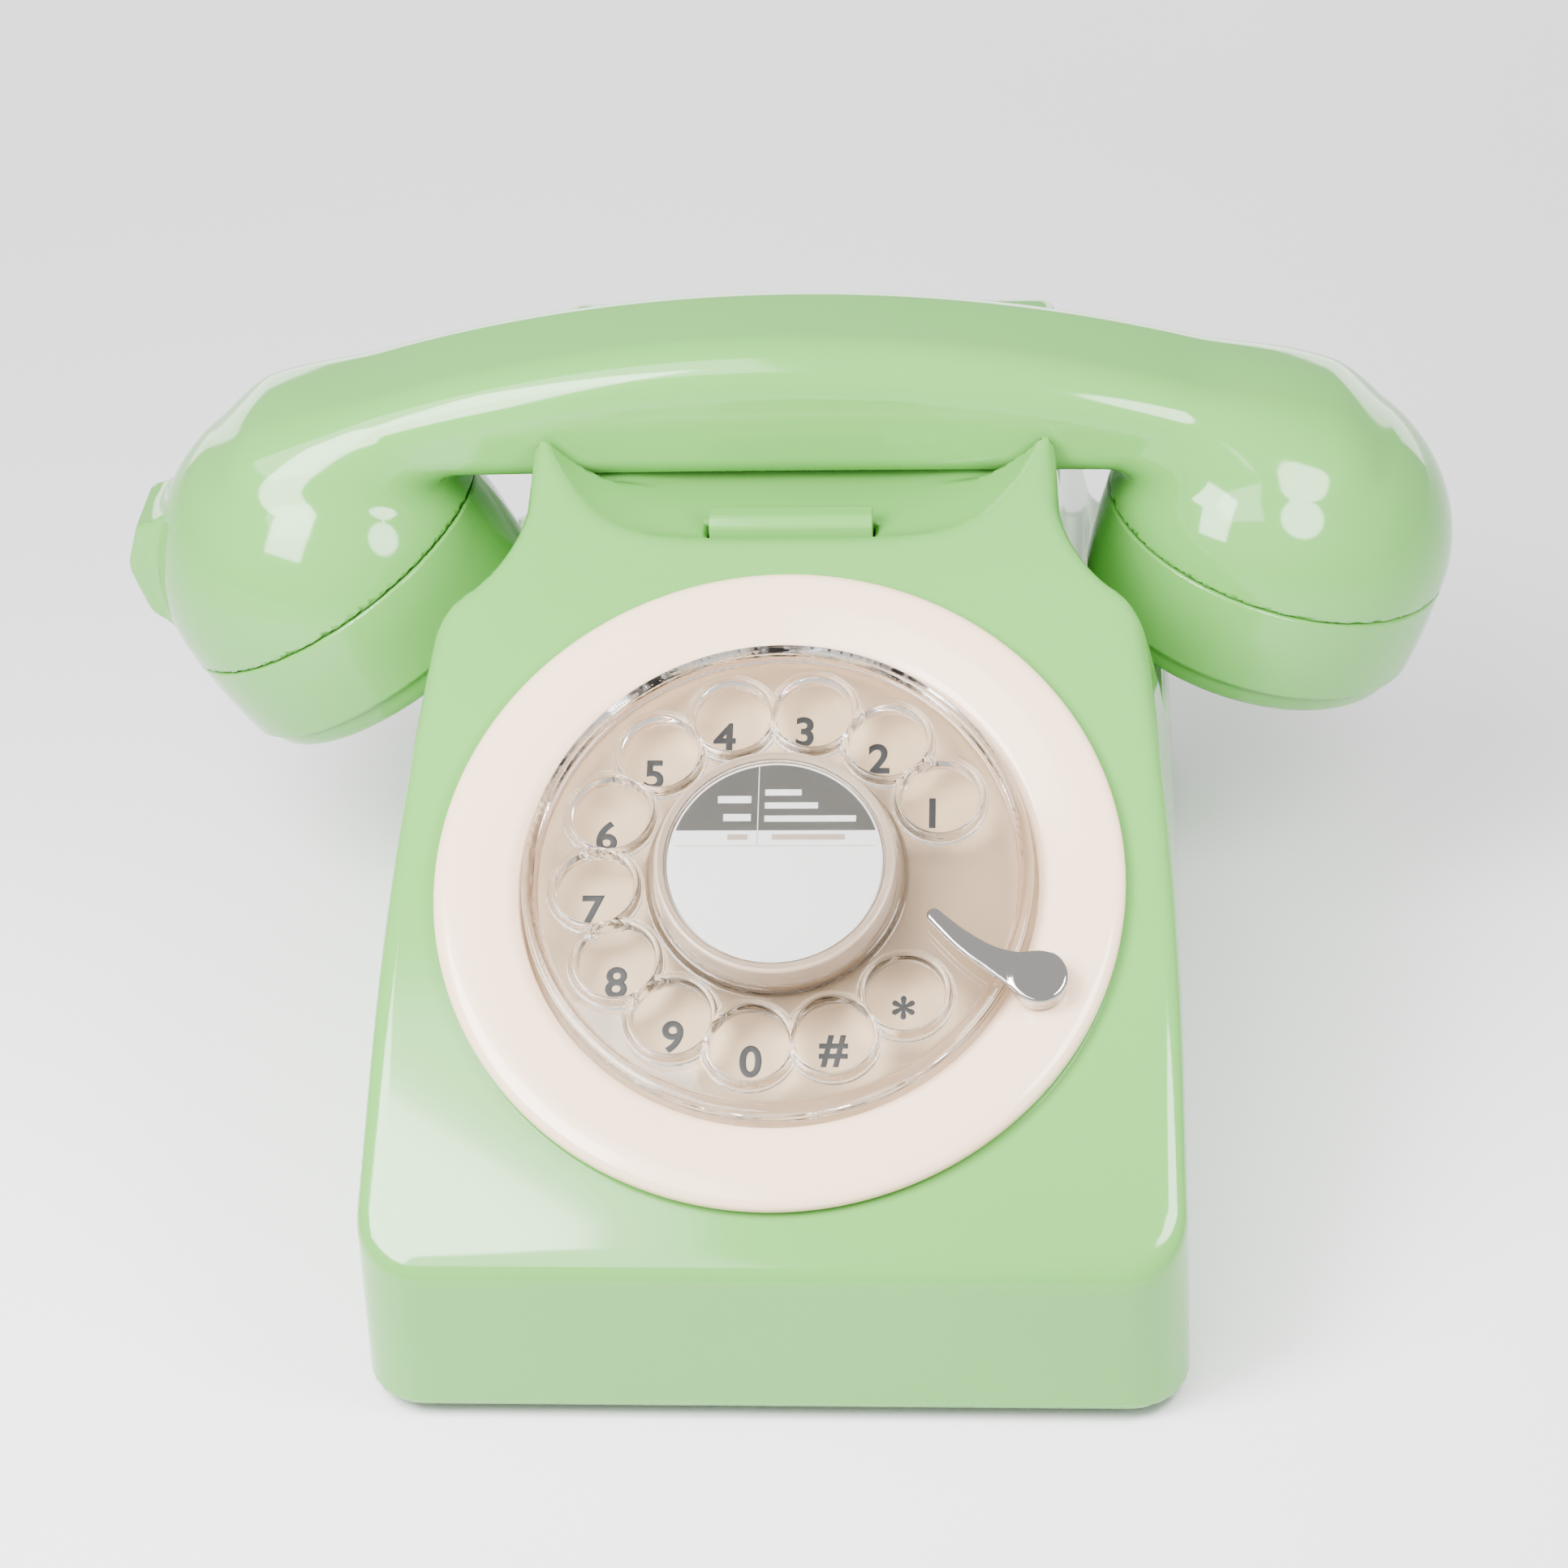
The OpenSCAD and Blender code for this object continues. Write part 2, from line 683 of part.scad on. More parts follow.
module ringer_coil() {
  color([0.62, 0.32, 0.18]) for (x = [-8, 8]) difference() {
    translate([x - 3.1, core_y + 1, hammer_z - 4.5]) cube([6.2, 14, 11]);
    translate([x - 1.5, core_y - 1, hammer_z - 3]) cube([3, 30, 8]);
  }
}

module clapper_pin() {
  color(steel) translate([0, clapper_y, 0]) disc(1.2, floor_z, hammer_z + 7);
}

module clapper_arm() {
  color(steel) difference() {
    union() {
      translate([-10, clapper_y - 1.2, hammer_z - 3]) cube([20, 2.4, 7]);
      translate([0, clapper_y, 0]) disc(2.8, hammer_z - 3, hammer_z + 4);
      translate([-0.7, clapper_y, hammer_z - 0.7]) cube([1.4, hammer_y - clapper_y, 1.4]);
    }
    translate([0, clapper_y, 0]) disc(1.2 + run_gap, 0, 40);
    translate([0, hammer_y, hammer_z]) sphere(3);
  }
}

module clapper_ball() {
  color(brass) translate([0, hammer_y, hammer_z]) sphere(3);
}

module circuit_board() {
  color([0.10, 0.35, 0.18]) difference() {
    translate([-board_w / 2, board_y - board_d / 2, board_z]) cube([board_w, board_d, 1.6]);
    for (x = [-1, 1], y = [-1, 1])
      translate([x * (board_w / 2 - 5), board_y + y * (board_d / 2 - 5), 0]) disc(1.6, 0, 30);
  }
}

module board_spacers() {
  color([0.85, 0.85, 0.82]) for (x = [-1, 1], y = [-1, 1])
    translate([x * (board_w / 2 - 5), board_y + y * (board_d / 2 - 5), 0]) {
      disc(3, floor_z, board_z);
      disc(1.5, board_z, board_z + 1.6);
      disc(2.4, board_z + 1.6, board_z + 2.6);
    }
}

module transformer() {
  color([0.55, 0.35, 0.2]) translate([-30, board_y - 8, board_z + 1.6]) {
    cube([18, 16, 3]);
    translate([2, 1, 3]) cube([14, 14, 9]);
    translate([0, 0, 12]) cube([18, 16, 2]);
  }
}

module capacitors() {
  color([0.75, 0.2, 0.12]) for (k = [0:2]) translate([2 + 12 * k, board_y + 6, board_z + 1.6])
    cube([9, 5, 9]);
}

module terminal_block() {
  color([0.88, 0.88, 0.84]) difference() {
    translate([-4, board_y - 20, board_z + 1.6]) cube([40, 9, 9]);
    for (k = [0:4]) translate([k * 8, board_y - 15.5, board_z + 5]) disc(1.5, 0, 20);
  }
}

// A six-way modular jack, seen from the back of the telephone
module jack(x, z, w, h, mouth_w, mouth_h) {
  translate([x, 0, z]) difference() {
    translate([-w / 2, back_y - socket_d, 0]) cube([w, socket_d, h]);
    translate([-mouth_w / 2, back_y - socket_d + 2, (h - mouth_h) / 2]) cube([mouth_w, 40, mouth_h]);
  }
}
module line_socket() { color(black) jack(0, floor_z, socket_w, socket_h, 9.8, 7.2); }
module cord_socket() { color(black) jack(cord_socket_x, floor_z, cord_socket_w, socket_h, 7.8, 6.8); }

// Handset. Each cup has its own frame: +Z up out of the dome, seam at z = 0
module on_mouth() {
  translate([handset_dx - cup_x, grip_y, mouth_z]) rotate([0, -mouth_lean, 0]) children();
}
module on_ear() {
  translate([handset_dx + cup_x, grip_y, ear_z]) rotate([0, ear_lean, 0]) children();
}
mouth_dome_h = 34;
ear_dome_h = 29;
cup_wall = 2.6;
cap_h = 21;

function dome_points(r, h, low) = concat([[0, low], [r, low]],
  [for (a = [0:6:90]) [r * cos(a), h * sin(a)]]);
module dome(r, h, low) {
  rotate_extrude() polygon(dome_points(r, h, low));
}

// Solid grip: a round-cornered section turned about a far centre, flat below
module grip(i) {
  w = grip_w - 2 * i;
  t = grip_t + 14 - 2 * i;
  r = (w / 2) * 0.55;
  top = seat_z + grip_t - i;
  span = asin((cup_x + 2) / arch_r);
  difference() {
    translate([handset_dx, grip_y, top - arch_r]) rotate([90, 0, 0]) rotate([0, 0, 90 - span])
      rotate_extrude(angle = 2 * span, $fn = 180)
        translate([arch_r - t / 2, 0]) rounded_rect(t, w, r);
    translate([handset_dx - cup_x / 2 - 14 + i, 0, 0])
      cube([cup_x + 28 - 2 * i, 200, seat_z + i]);
  }
}

// Boss on the mouthpiece dome for the cord's socket, as [x, z] in the cup's frame
nozzle_tip = [-32.6, 15.7];
nozzle_turn = 12.4;
nozzle_w = 16;
module in_nozzle() {
  on_mouth() translate([nozzle_tip[0], 0, nozzle_tip[1]]) rotate([0, nozzle_turn, 0]) children();
}
module handset_shell() {
  color(green) difference() {
    union() {
      grip(0);
      on_mouth() dome(cup_r, mouth_dome_h, 0);
      on_ear() dome(cup_r, ear_dome_h, 0);
      in_nozzle() front_prism([[0, -5.1], [0, 5.1], [5, 12.2], [12, 12.2], [12, -8], [2.5, -8]],
        -nozzle_w / 2, nozzle_w / 2);
    }
    grip(3);
    on_mouth() dome(cup_r - cup_wall, mouth_dome_h - cup_wall, -1);
    on_ear() dome(cup_r - cup_wall, ear_dome_h - cup_wall, -1);
    on_mouth() disc(cup_r + 6, -60, 0);
    on_ear() disc(cup_r + 6, -60, 0);
    in_nozzle() translate([-1, -4.6, -4.1]) cube([14, 9.2, 8.2]);
  }
}

// Screwed cap: a band, a groove, a smaller ring and a dished face with holes
module cap(face_holes) {
  r = cup_r;
  difference() {
    rotate_extrude() polygon([[0, -cap_h + 2], [r - 9, -cap_h + 0.8], [r - 8, -cap_h - 1.4],
      [r - 4.6, -cap_h - 1.4], [r - 3.2, -cap_h + 1.6], [r - 1.6, -17.9], [r - 1.9, -17.4],
      [r - 0.8, -16.6], [r, -6], [r, -0.05], [r - 2.6, -0.05], [r - 4.6, -0.05], [r - 4.6, -16.6],
      [0, -cap_h + 4.4]]);
    for (k = face_holes) rotate(k[0]) translate([k[1], 0, -cap_h - 4]) cylinder(r = 1.3, h = 12);
  }
}
module ear_cap() {
  color(green) on_ear() cap([for (k = [0:5]) [60 * k, 7]]);
}
module mouth_cap() {
  outer_ring = [for (k = [0:7]) [45 * k, 12]];
  inner_ring = [for (k = [0:5]) [60 * k, 6.5]];
  color(green) on_mouth() cap(concat([[0, 0]], outer_ring, inner_ring));
}

module capsule() {
  disc(24, -14.5, -6);
  disc(20, -6, -1);
}
module receiver_capsule() { color(steel) on_ear() capsule(); }
module microphone_capsule() { color(steel) on_mouth() capsule(); }

module handset_weight() {
  color(steel) on_mouth() disc(15, 3, 12);
}

module handset_socket() {
  color([0.86, 0.84, 0.90]) in_nozzle() difference() {
    translate([0, -4.5, -4]) cube([9, 9, 8]);
    translate([-1, -3.8, -3.2]) cube([8.5, 7.6, 6.4]);
  }
}

// The modules put the case in the middle; the cord's boss makes the handset reach further to the left
centre_shift = 3.8;
module centred() {
  translate([centre_shift, 0, 0]) children();
}

centred() base_plate();
centred() rubber_feet();
centred() base_screws();
centred() case_shell();
centred() dial_surround();
centred() number_plate();
centred() finger_stop();
centred() dial_frame();
centred() dial_screws();
centred() dial_pillars();
centred() dial_back_plate();
centred() pillar_screws();
centred() mainspring();
centred() governor_cup();
centred() pulse_contacts();
centred() circuit_board();
centred() board_spacers();
centred() transformer();
centred() capacitors();
centred() terminal_block();
centred() hook_bracket();
centred() bracket_screws();
centred() hook_pin();
centred() hook_switch();
centred() plunger_spring();
centred() gong_left();
centred() gong_right();
centred() gong_posts();
centred() gong_screws();
centred() ringer_core();
centred() ringer_coil();
centred() clapper_pin();
centred() line_socket();
centred() cord_socket();
centred() finger_wheel();
centred() dial_hub();
centred() label_card();
centred() label_cover();
centred() main_shaft();
centred() main_gear();
centred() pulse_shaft();
centred() pulse_wheel();
centred() pulse_cam();
centred() governor_spindle();
centred() governor_weights();
centred() hook_plunger();
centred() hook_lever();
centred() clapper_arm();
centred() clapper_ball();
centred() handset_shell();
centred() ear_cap();
centred() mouth_cap();
centred() receiver_capsule();
centred() microphone_capsule();
centred() handset_weight();
centred() handset_socket();
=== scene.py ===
"""A rotary desk telephone in mint green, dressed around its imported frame.

Sizes inside the sections are millimetres in the case's own frame, whose middle is `middle_x` in the row
frame; every mesh is turned into metres where it is made."""

import json
import math

import bpy
import numpy as np
import openvdb
from mathutils import Matrix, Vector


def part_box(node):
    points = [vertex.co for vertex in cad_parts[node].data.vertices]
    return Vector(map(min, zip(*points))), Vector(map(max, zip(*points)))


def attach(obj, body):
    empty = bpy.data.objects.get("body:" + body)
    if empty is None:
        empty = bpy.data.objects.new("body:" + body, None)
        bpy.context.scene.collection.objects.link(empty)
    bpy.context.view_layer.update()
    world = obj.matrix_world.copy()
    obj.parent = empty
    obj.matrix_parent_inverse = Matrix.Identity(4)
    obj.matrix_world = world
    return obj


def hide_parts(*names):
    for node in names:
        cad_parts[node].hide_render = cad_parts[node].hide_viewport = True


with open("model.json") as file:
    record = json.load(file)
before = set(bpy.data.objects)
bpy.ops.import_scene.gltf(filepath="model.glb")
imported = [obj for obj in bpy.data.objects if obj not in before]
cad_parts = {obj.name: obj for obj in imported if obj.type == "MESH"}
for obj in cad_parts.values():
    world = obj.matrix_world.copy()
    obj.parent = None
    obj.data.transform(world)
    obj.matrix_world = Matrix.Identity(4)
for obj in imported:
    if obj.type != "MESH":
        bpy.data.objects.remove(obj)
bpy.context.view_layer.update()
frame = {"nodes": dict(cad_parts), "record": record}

# Case shell -----------------------------------------------------------------------------------------
# One injection moulding in glossy green ABS: sloping face, shoulders, four horns and a dished cradle.
# It drops over the base and is held by four screws from below.

case_low, case_high = (np.array(corner) * 1000 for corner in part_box("case_shell"))
middle_x = (case_low[0] + case_high[0]) / 2
FACE_TILT = math.radians(30.6)
FACE_SIN, FACE_COS = math.sin(FACE_TILT), math.cos(FACE_TILT)
FRONT_Y = case_low[1]
CREASE_Z = 32.4
SHELL_Z = case_low[2]
WALL = 2.8
HALF_WIDTH, HALF_DEPTH = 68.6, 102
CORNER_R, CREASE_R, EDGE_R = 11.0, 3.6, 4
SHOULDER_X, SHOULDER_Y, SHOULDER_Z = 47.7, 12.65, 97.4
DECK_Z = 60
NECK_HALF, NECK_Z = 47.2, 101
CUP_ROOM_R = 9
DISH_Z, HORN_RISE, HORN_X = 99.0, 12.0, 44.5
LIP_Y, LIP_RISE, LIP_WIDTH = 12.5, 1.1, 4.5
FRONT_HORN_Y, FRONT_HORN_Z, FRONT_HORN_SLOPE = 30.4, 110.9, 0.6
BACK_HORN_Y, BACK_HORN_Z = 77.5, 110.8
SEAT_MIDDLE_Y, SEAT_HALF, SEAT_FLOOR_Z = 50.05, 16.9, 100.35
BACK_Y, BACK_Z, BACK_LEDGE_Z = 88.6, 105, 56.5
RECESS_HALF, RECESS_Z, RECESS_HALF_HEIGHT, RECESS_Y, RECESS_R = 34, 82.3, 16.3, 79.6, 6
DIAL_UP = 68.5
DIAL_OPENING_R = 52.35
BAR_SLOT = (14.85, 19.55, 2.85)
PAD_SLOT = (9.35, 48.05, 4.35)
SLOT_FROM_Z = 86
SOCKET_FROM_Y = 92
socket_boxes = [[np.array(corner) * 1000 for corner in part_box(node)]
                for node in ("line_socket", "cord_socket")]
DIAL_Y = FRONT_Y + DIAL_UP * FACE_COS
DIAL_Z = CREASE_Z + DIAL_UP * FACE_SIN


def round_max(a, b, r):
    """Meeting of two solids, with the edge rounded to radius r: an arc joins the two distances."""
    return np.minimum(np.maximum(a, b), -r) + np.hypot(np.maximum(a + r, 0), np.maximum(b + r, 0))


def round_min(a, b, r):
    """Union of two solids, with a hollow fillet of radius r where they meet."""
    return -round_max(-a, -b, r)


def skin(name, field, low, high, step, spot=None):
    """Surface where a distance field is zero, as a smooth mesh in metres.

    The field is sampled on a regular grid, the zero surface is drawn in quads, each point is then moved
    along the field's slope until it lies on the surface, and the slope gives the shading normals.
    spot is the place of the field's own axes: its origin and its three directions. Millimetres."""
    low, high = np.array(low, float), np.array(high, float)
    axes = [np.arange(a, b + step, step) for a, b in zip(low, high)]
    values = field(axes[0][:, None, None], axes[1][None, :, None], axes[2][None, None, :])
    shape = tuple(len(a) for a in axes)
    values = np.clip(np.broadcast_to(values, shape), -2 * step, 2 * step).astype(np.float32)
    grid = openvdb.FloatGrid(2 * step)
    grid.copyFromArray(np.ascontiguousarray(values))
    points, quads = grid.convertToQuads(isovalue=0.0)
    points = points.astype(float) * step + low
    reach = 0.02

    def slope(p):
        parts = []
        for k in range(3):
            ahead, behind = p.copy(), p.copy()
            ahead[:, k] += reach
            behind[:, k] -= reach
            parts.append((field(*ahead.T) - field(*behind.T)) / (2 * reach))
        return np.stack(parts, 1)

    for _ in range(3):
        g = slope(points)
        size = np.maximum((g * g).sum(1), 0.05)
        move = field(*points.T)[:, None] * g / size[:, None]
        points -= np.clip(move, -0.4 * step, 0.4 * step)
    g = slope(points)
    normals = g / np.maximum(np.linalg.norm(g, axis=1), 1e-9)[:, None]
    a, b, c = (points[quads[:, k]] for k in (0, 1, 2))
    if (np.cross(b - a, c - a) * normals[quads[:, 0]]).sum() < 0:
        quads = quads[:, ::-1]
    return put_mesh(name, points, quads, normals, spot)


def put_mesh(name, points, faces, normals=None, spot=None, smooth=True):
    """A mesh object at the origin, from faces and points in millimetres in a spot's own axes."""
    mesh = bpy.data.meshes.new(name)
    points = np.asarray(points, float)
    if spot is not None:
        origin, turn = spot
        points = points @ turn + origin
        normals = None if normals is None else normals @ turn
    placed = (points + [middle_x, 0, 0]) / 1000
    mesh.from_pydata(placed.tolist(), [], faces.tolist() if isinstance(faces, np.ndarray) else faces)
    mesh.update()
    if smooth:
        mesh.polygons.foreach_set("use_smooth", [True] * len(mesh.polygons))
    if normals is not None:
        mesh.normals_split_custom_set_from_vertices(normals.tolist())
    piece = bpy.data.objects.new(name, mesh)
    bpy.context.scene.collection.objects.link(piece)
    return piece


def case_field(x, y, z):
    """Case without its openings: side walls, face plane, cup recesses, dish and carry recess."""
    ax = np.abs(x)
    # side walls: rounded rectangle in plan, drawn in towards the top
    half = HALF_WIDTH - 0.022 * z - 0.0028 * np.maximum(z - 48, 0) ** 2
    depth = HALF_DEPTH - 0.012 * z
    over_x, over_y = ax - half + CORNER_R, np.abs(y) - depth + CORNER_R
    outside = np.hypot(np.maximum(over_x, 0), np.maximum(over_y, 0))
    sides = np.minimum(np.maximum(over_x, over_y), 0) + outside - CORNER_R
    face = -(y - FRONT_Y) * FACE_SIN + (z - CREASE_Z) * FACE_COS
    body = round_max(sides, face, CREASE_R)
    # room for the cups: behind the shoulders' slanted edge, outside the neck, above the deck
    behind = (y - SHOULDER_Y + 0.728 * (ax - SHOULDER_X) + 0.345 * (z - SHOULDER_Z)) / 1.284
    deck = z - DECK_Z + 0.05 * (y - 30)
    neck = ax - (NECK_HALF - 0.1 * (z - NECK_Z) + 0.012 * np.maximum(92 - z, 0) ** 1.5)
    kept = round_min(round_min(behind, deck, CUP_ROOM_R), neck, CUP_ROOM_R)
    body = round_max(body, kept, EDGE_R)
    # dish under the grip, open to the front between the front horns
    reach = np.minimum(ax, 47) / HORN_X
    lip = LIP_RISE * np.exp(-((y - LIP_Y) / LIP_WIDTH) ** 2)
    floor_z = DISH_Z + HORN_RISE * reach ** 4.5 + lip
    rise = 1.21 * reach ** 3.5
    dish = (z - floor_z) / np.sqrt(1 + rise ** 2)
    back_wall = BACK_HORN_Y + 0.25 * (z - 100) - y
    body = round_max(body, round_min(dish, back_wall, 7), 1.5)
    # the front horns slope down to the lip, and the grip lies in a seat between front and back horns
    slope = (z - FRONT_HORN_Z - FRONT_HORN_SLOPE * (y - FRONT_HORN_Y)) / 1.166
    body = round_max(body, slope, 1.6)
    seat = round_max(np.abs(y - SEAT_MIDDLE_Y) - SEAT_HALF, SEAT_FLOOR_Z - z, 2.5)
    body = round_max(body, -seat, 1.0)
    # top and back of the back horns, and the slope down to the back edge
    top = z - BACK_HORN_Z + 0.05 * (y - 80)
    body = round_max(body, top, 3)
    rear = (y - BACK_Y + 0.16 * (z - BACK_Z)) / 1.013
    back_slope = round_min(rear, z - BACK_LEDGE_Z + 0.12 * (y - 96), 10)
    body = round_max(body, back_slope, EDGE_R)
    # finger recess in the back of the neck
    tall = np.abs(z - RECESS_Z) - RECESS_HALF_HEIGHT
    recess = round_max(ax - RECESS_HALF, round_max(tall, RECESS_Y - y, RECESS_R), RECESS_R)
    return round_max(body, -recess, 2.5)


def dial_axes(x, y, z):
    """Distance from the dial's axis and height above the face plane."""
    up = (y - DIAL_Y) * FACE_COS + (z - DIAL_Z) * FACE_SIN
    out = -(y - DIAL_Y) * FACE_SIN + (z - DIAL_Z) * FACE_COS
    return np.hypot(x, up), out


def case_open_field(x, y, z):
    """The case as a hollow shell: inner wall, open foot, dial opening, cradle slots and socket mouths."""
    outer = case_field(x, y, z)
    solid = np.maximum(outer, -(outer + WALL))
    solid = round_max(solid, SHELL_Z - z, 0.8)
    radius, out = dial_axes(x, y, z)
    solid = np.maximum(solid, np.where(np.abs(out) < 14, DIAL_OPENING_R - radius, -20.0))
    for half_x, middle_y, half_y in (BAR_SLOT, PAD_SLOT):
        slot = np.maximum(np.abs(x) - half_x, np.abs(y - middle_y) - half_y)
        solid = np.maximum(solid, -np.where(z > SLOT_FROM_Z, slot, 20.0))
    for low, high in socket_boxes:
        across = np.abs(x + middle_x - (low[0] + high[0]) / 2) - (high[0] - low[0]) / 2 - 0.3
        mouth = np.maximum(across, z - high[2] - 0.2)
        solid = np.maximum(solid, -np.where(y > SOCKET_FROM_Y, mouth, 20.0))
    return solid


case = skin("case_moulding", case_open_field, (-70.5, -103.5, 1), (70.5, 103.5, 113.5), 1.28)
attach(case, "base")
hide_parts("case_shell")


def moulded(name, colour, roughness, coat=0.0, grain=0.0, wander=0.03, metal=0.0, scale=900.0):
    """A moulded or machined finish: a colour that wanders a little, fine grain and faint handling marks."""
    finish = bpy.data.materials.new(name)
    finish.use_nodes = True
    tree = finish.node_tree
    shader = tree.nodes["Principled BSDF"]
    shader.inputs["Metallic"].default_value = metal
    shader.inputs["Coat Weight"].default_value = coat
    shader.inputs["Coat Roughness"].default_value = 0.03
    place = tree.nodes.new("ShaderNodeTexCoord")
    cloud = tree.nodes.new("ShaderNodeTexNoise")
    cloud.inputs["Scale"].default_value = 14.0
    cloud.inputs["Detail"].default_value = 3.0
    tree.links.new(place.outputs["Object"], cloud.inputs["Vector"])
    ramp = tree.nodes.new("ShaderNodeValToRGB")
    ramp.color_ramp.elements[0].position = 0.3
    ramp.color_ramp.elements[1].position = 0.7
    ramp.color_ramp.elements[0].color = (*[c * (1 - wander) for c in colour], 1)
    ramp.color_ramp.elements[1].color = (*[min(c * (1 + wander), 1) for c in colour], 1)
    tree.links.new(cloud.outputs["Fac"], ramp.inputs["Fac"])
    tree.links.new(ramp.outputs["Color"], shader.inputs["Base Color"])
    speck = tree.nodes.new("ShaderNodeTexNoise")
    speck.inputs["Scale"].default_value = scale
    speck.inputs["Detail"].default_value = 2.0
    tree.links.new(place.outputs["Object"], speck.inputs["Vector"])
    gloss = tree.nodes.new("ShaderNodeMapRange")
    gloss.inputs["To Min"].default_value = roughness * 0.85
    gloss.inputs["To Max"].default_value = roughness * 1.2
    tree.links.new(cloud.outputs["Fac"], gloss.inputs["Value"])
    tree.links.new(gloss.outputs["Result"], shader.inputs["Roughness"])
    if grain:
        bump = tree.nodes.new("ShaderNodeBump")
        bump.inputs["Strength"].default_value = grain
        bump.inputs["Distance"].default_value = 0.0001
        tree.links.new(speck.outputs["Fac"], bump.inputs["Height"])
        tree.links.new(bump.outputs["Normal"], shader.inputs["Normal"])
    return finish


def clothe(piece, finish):
    """Gives every face of a piece one finish."""
    piece.data.materials.clear()
    piece.data.materials.append(finish)


green_abs = moulded("glossy_green_abs", (0.125, 0.375, 0.072), 0.09, coat=0.1, grain=0.02)
clothe(case, green_abs)

# Cradle bar -----------------------------------------------------------------------------------------
# The moulding that the handset presses: a bar in front of the grip, a bridge and a pad below the grip.
# It is moulded in the case's green and slides up and down in slots in the dish.

bar_low, bar_high = (np.array(corner) * 1000 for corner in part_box("hook_plunger"))
BAR_FRONT_Y, BAR_CHAMFER = 17.1, 1.35
BRIDGE_HIGH, PAD_TOP_Z = 2.9, 100.5


def block(x, y, z, half_x, low_y, high_y, low_z, high_z, r):
    """A straight block with its edges rounded to radius r."""
    a = np.abs(x) - half_x
    b = np.abs(y - (low_y + high_y) / 2) - (high_y - low_y) / 2
    c = np.abs(z - (low_z + high_z) / 2) - (high_z - low_z) / 2
    return round_max(round_max(a, b, r), c, r)


def bar_field(x, y, z):
    """Bar with a chamfered front edge, bridge and pad in one piece."""
    foot, top = bar_low[2] + 0.05, bar_high[2] - 0.05
    front_bar = block(x, y, z, 14.45, BAR_FRONT_Y, 22.0, foot, top, 0.35)
    chamfer = (-(y - BAR_FRONT_Y) + (z - top + BAR_CHAMFER)) / math.sqrt(2)
    front_bar = round_max(front_bar, chamfer, 0.3)
    bridge = block(x, y, z, 5.95, BAR_FRONT_Y, 50, foot, foot + BRIDGE_HIGH, 0.3)
    pad = block(x, y, z, 8.95, 44.1, 52.0, foot, PAD_TOP_Z, 0.35)
    return round_min(np.minimum(front_bar, pad), bridge, 0.8)


bar = skin("cradle_bar", bar_field, (-16, 15.5, 86.5), (16, 53.5, 104), 0.34)
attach(bar, "hook_plunger")
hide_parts("hook_plunger")
clothe(bar, green_abs)

# Dial surround --------------------------------------------------------------------------------------
# A cream ring in glossy plastic, turned up at its outer edge and dished towards the finger wheel.
# It is pushed into the round opening of the face and hides the dial's fixing lugs.

DIAL_TURN = np.array([[1, 0, 0], [0, FACE_COS, FACE_SIN], [0, -FACE_SIN, FACE_COS]])
DIAL_SPOT = (np.array([0, DIAL_Y, DIAL_Z]), DIAL_TURN)


def rounded(points, sizes, steps=7):
    """A closed outline with each corner turned into a curve that starts its size away from the corner."""
    points = np.asarray(points, float)
    out = []
    count = len(points)
    for k in range(count):
        here = points[k]
        if sizes[k] <= 0:
            out.append(here)
            continue
        ends = []
        for other in (points[k - 1], points[(k + 1) % count]):
            way = other - here
            ends.append(here + way / np.linalg.norm(way) * min(sizes[k], np.linalg.norm(way) * 0.45))
        t = np.linspace(0, 1, steps)[:, None]
        curve = (1 - t) ** 2 * ends[0] + 2 * t * (1 - t) * here + t ** 2 * ends[1]
        out.extend(curve)
    return np.array(out)


def turned(name, outline, spot, around=224):
    """A turned piece: a closed outline of radius and height, swept round the spot's own Z axis.

    Where the outline touches the axis, all the points of that row become one pole."""
    outline = np.asarray(outline, float)
    angle = np.linspace(0, 2 * np.pi, around, endpoint=False)
    count = len(outline)
    pole = outline[:, 0] < 1e-6
    start = np.cumsum(np.where(pole, 1, around)) - np.where(pole, 1, around)
    points = []
    for (r, h), single in zip(outline, pole):
        if single:
            points.append([[0, 0, h]])
        else:
            points.append(np.stack([r * np.cos(angle), r * np.sin(angle), np.full(around, h)], 1))
    points = np.vstack(points)
    faces = []
    step = np.arange(around)
    after = (step + 1) % around
    for k in range(count):
        j = (k + 1) % count
        if pole[k] and pole[j]:
            continue
        wide_k, wide_j = (0 if pole[index] else 1 for index in (k, j))
        a = start[k] + wide_k * step
        b = start[k] + wide_k * after
        c = start[j] + wide_j * after
        d = start[j] + wide_j * step
        if pole[k]:
            faces += np.stack([a, c, d], 1).tolist()
        elif pole[j]:
            faces += np.stack([a, b, d], 1).tolist()
        else:
            faces += np.stack([a, b, c, d], 1).tolist()
    piece = put_mesh(name, points, faces, spot=spot)
    if sum_volume(piece.data) < 0:
        piece.data.flip_normals()
    return piece


def sum_volume(mesh):
    """Signed volume inside a mesh, from the triangles of its faces."""
    mesh.calc_loop_triangles()
    corners = np.empty(len(mesh.loop_triangles) * 3, np.int32)
    mesh.loop_triangles.foreach_get("vertices", corners)
    places = np.empty(len(mesh.vertices) * 3)
    mesh.vertices.foreach_get("co", places)
    a, b, c = places.reshape(-1, 3)[corners.reshape(-1, 3)].transpose(1, 0, 2)
    return float((a * np.cross(b, c)).sum() / 6)


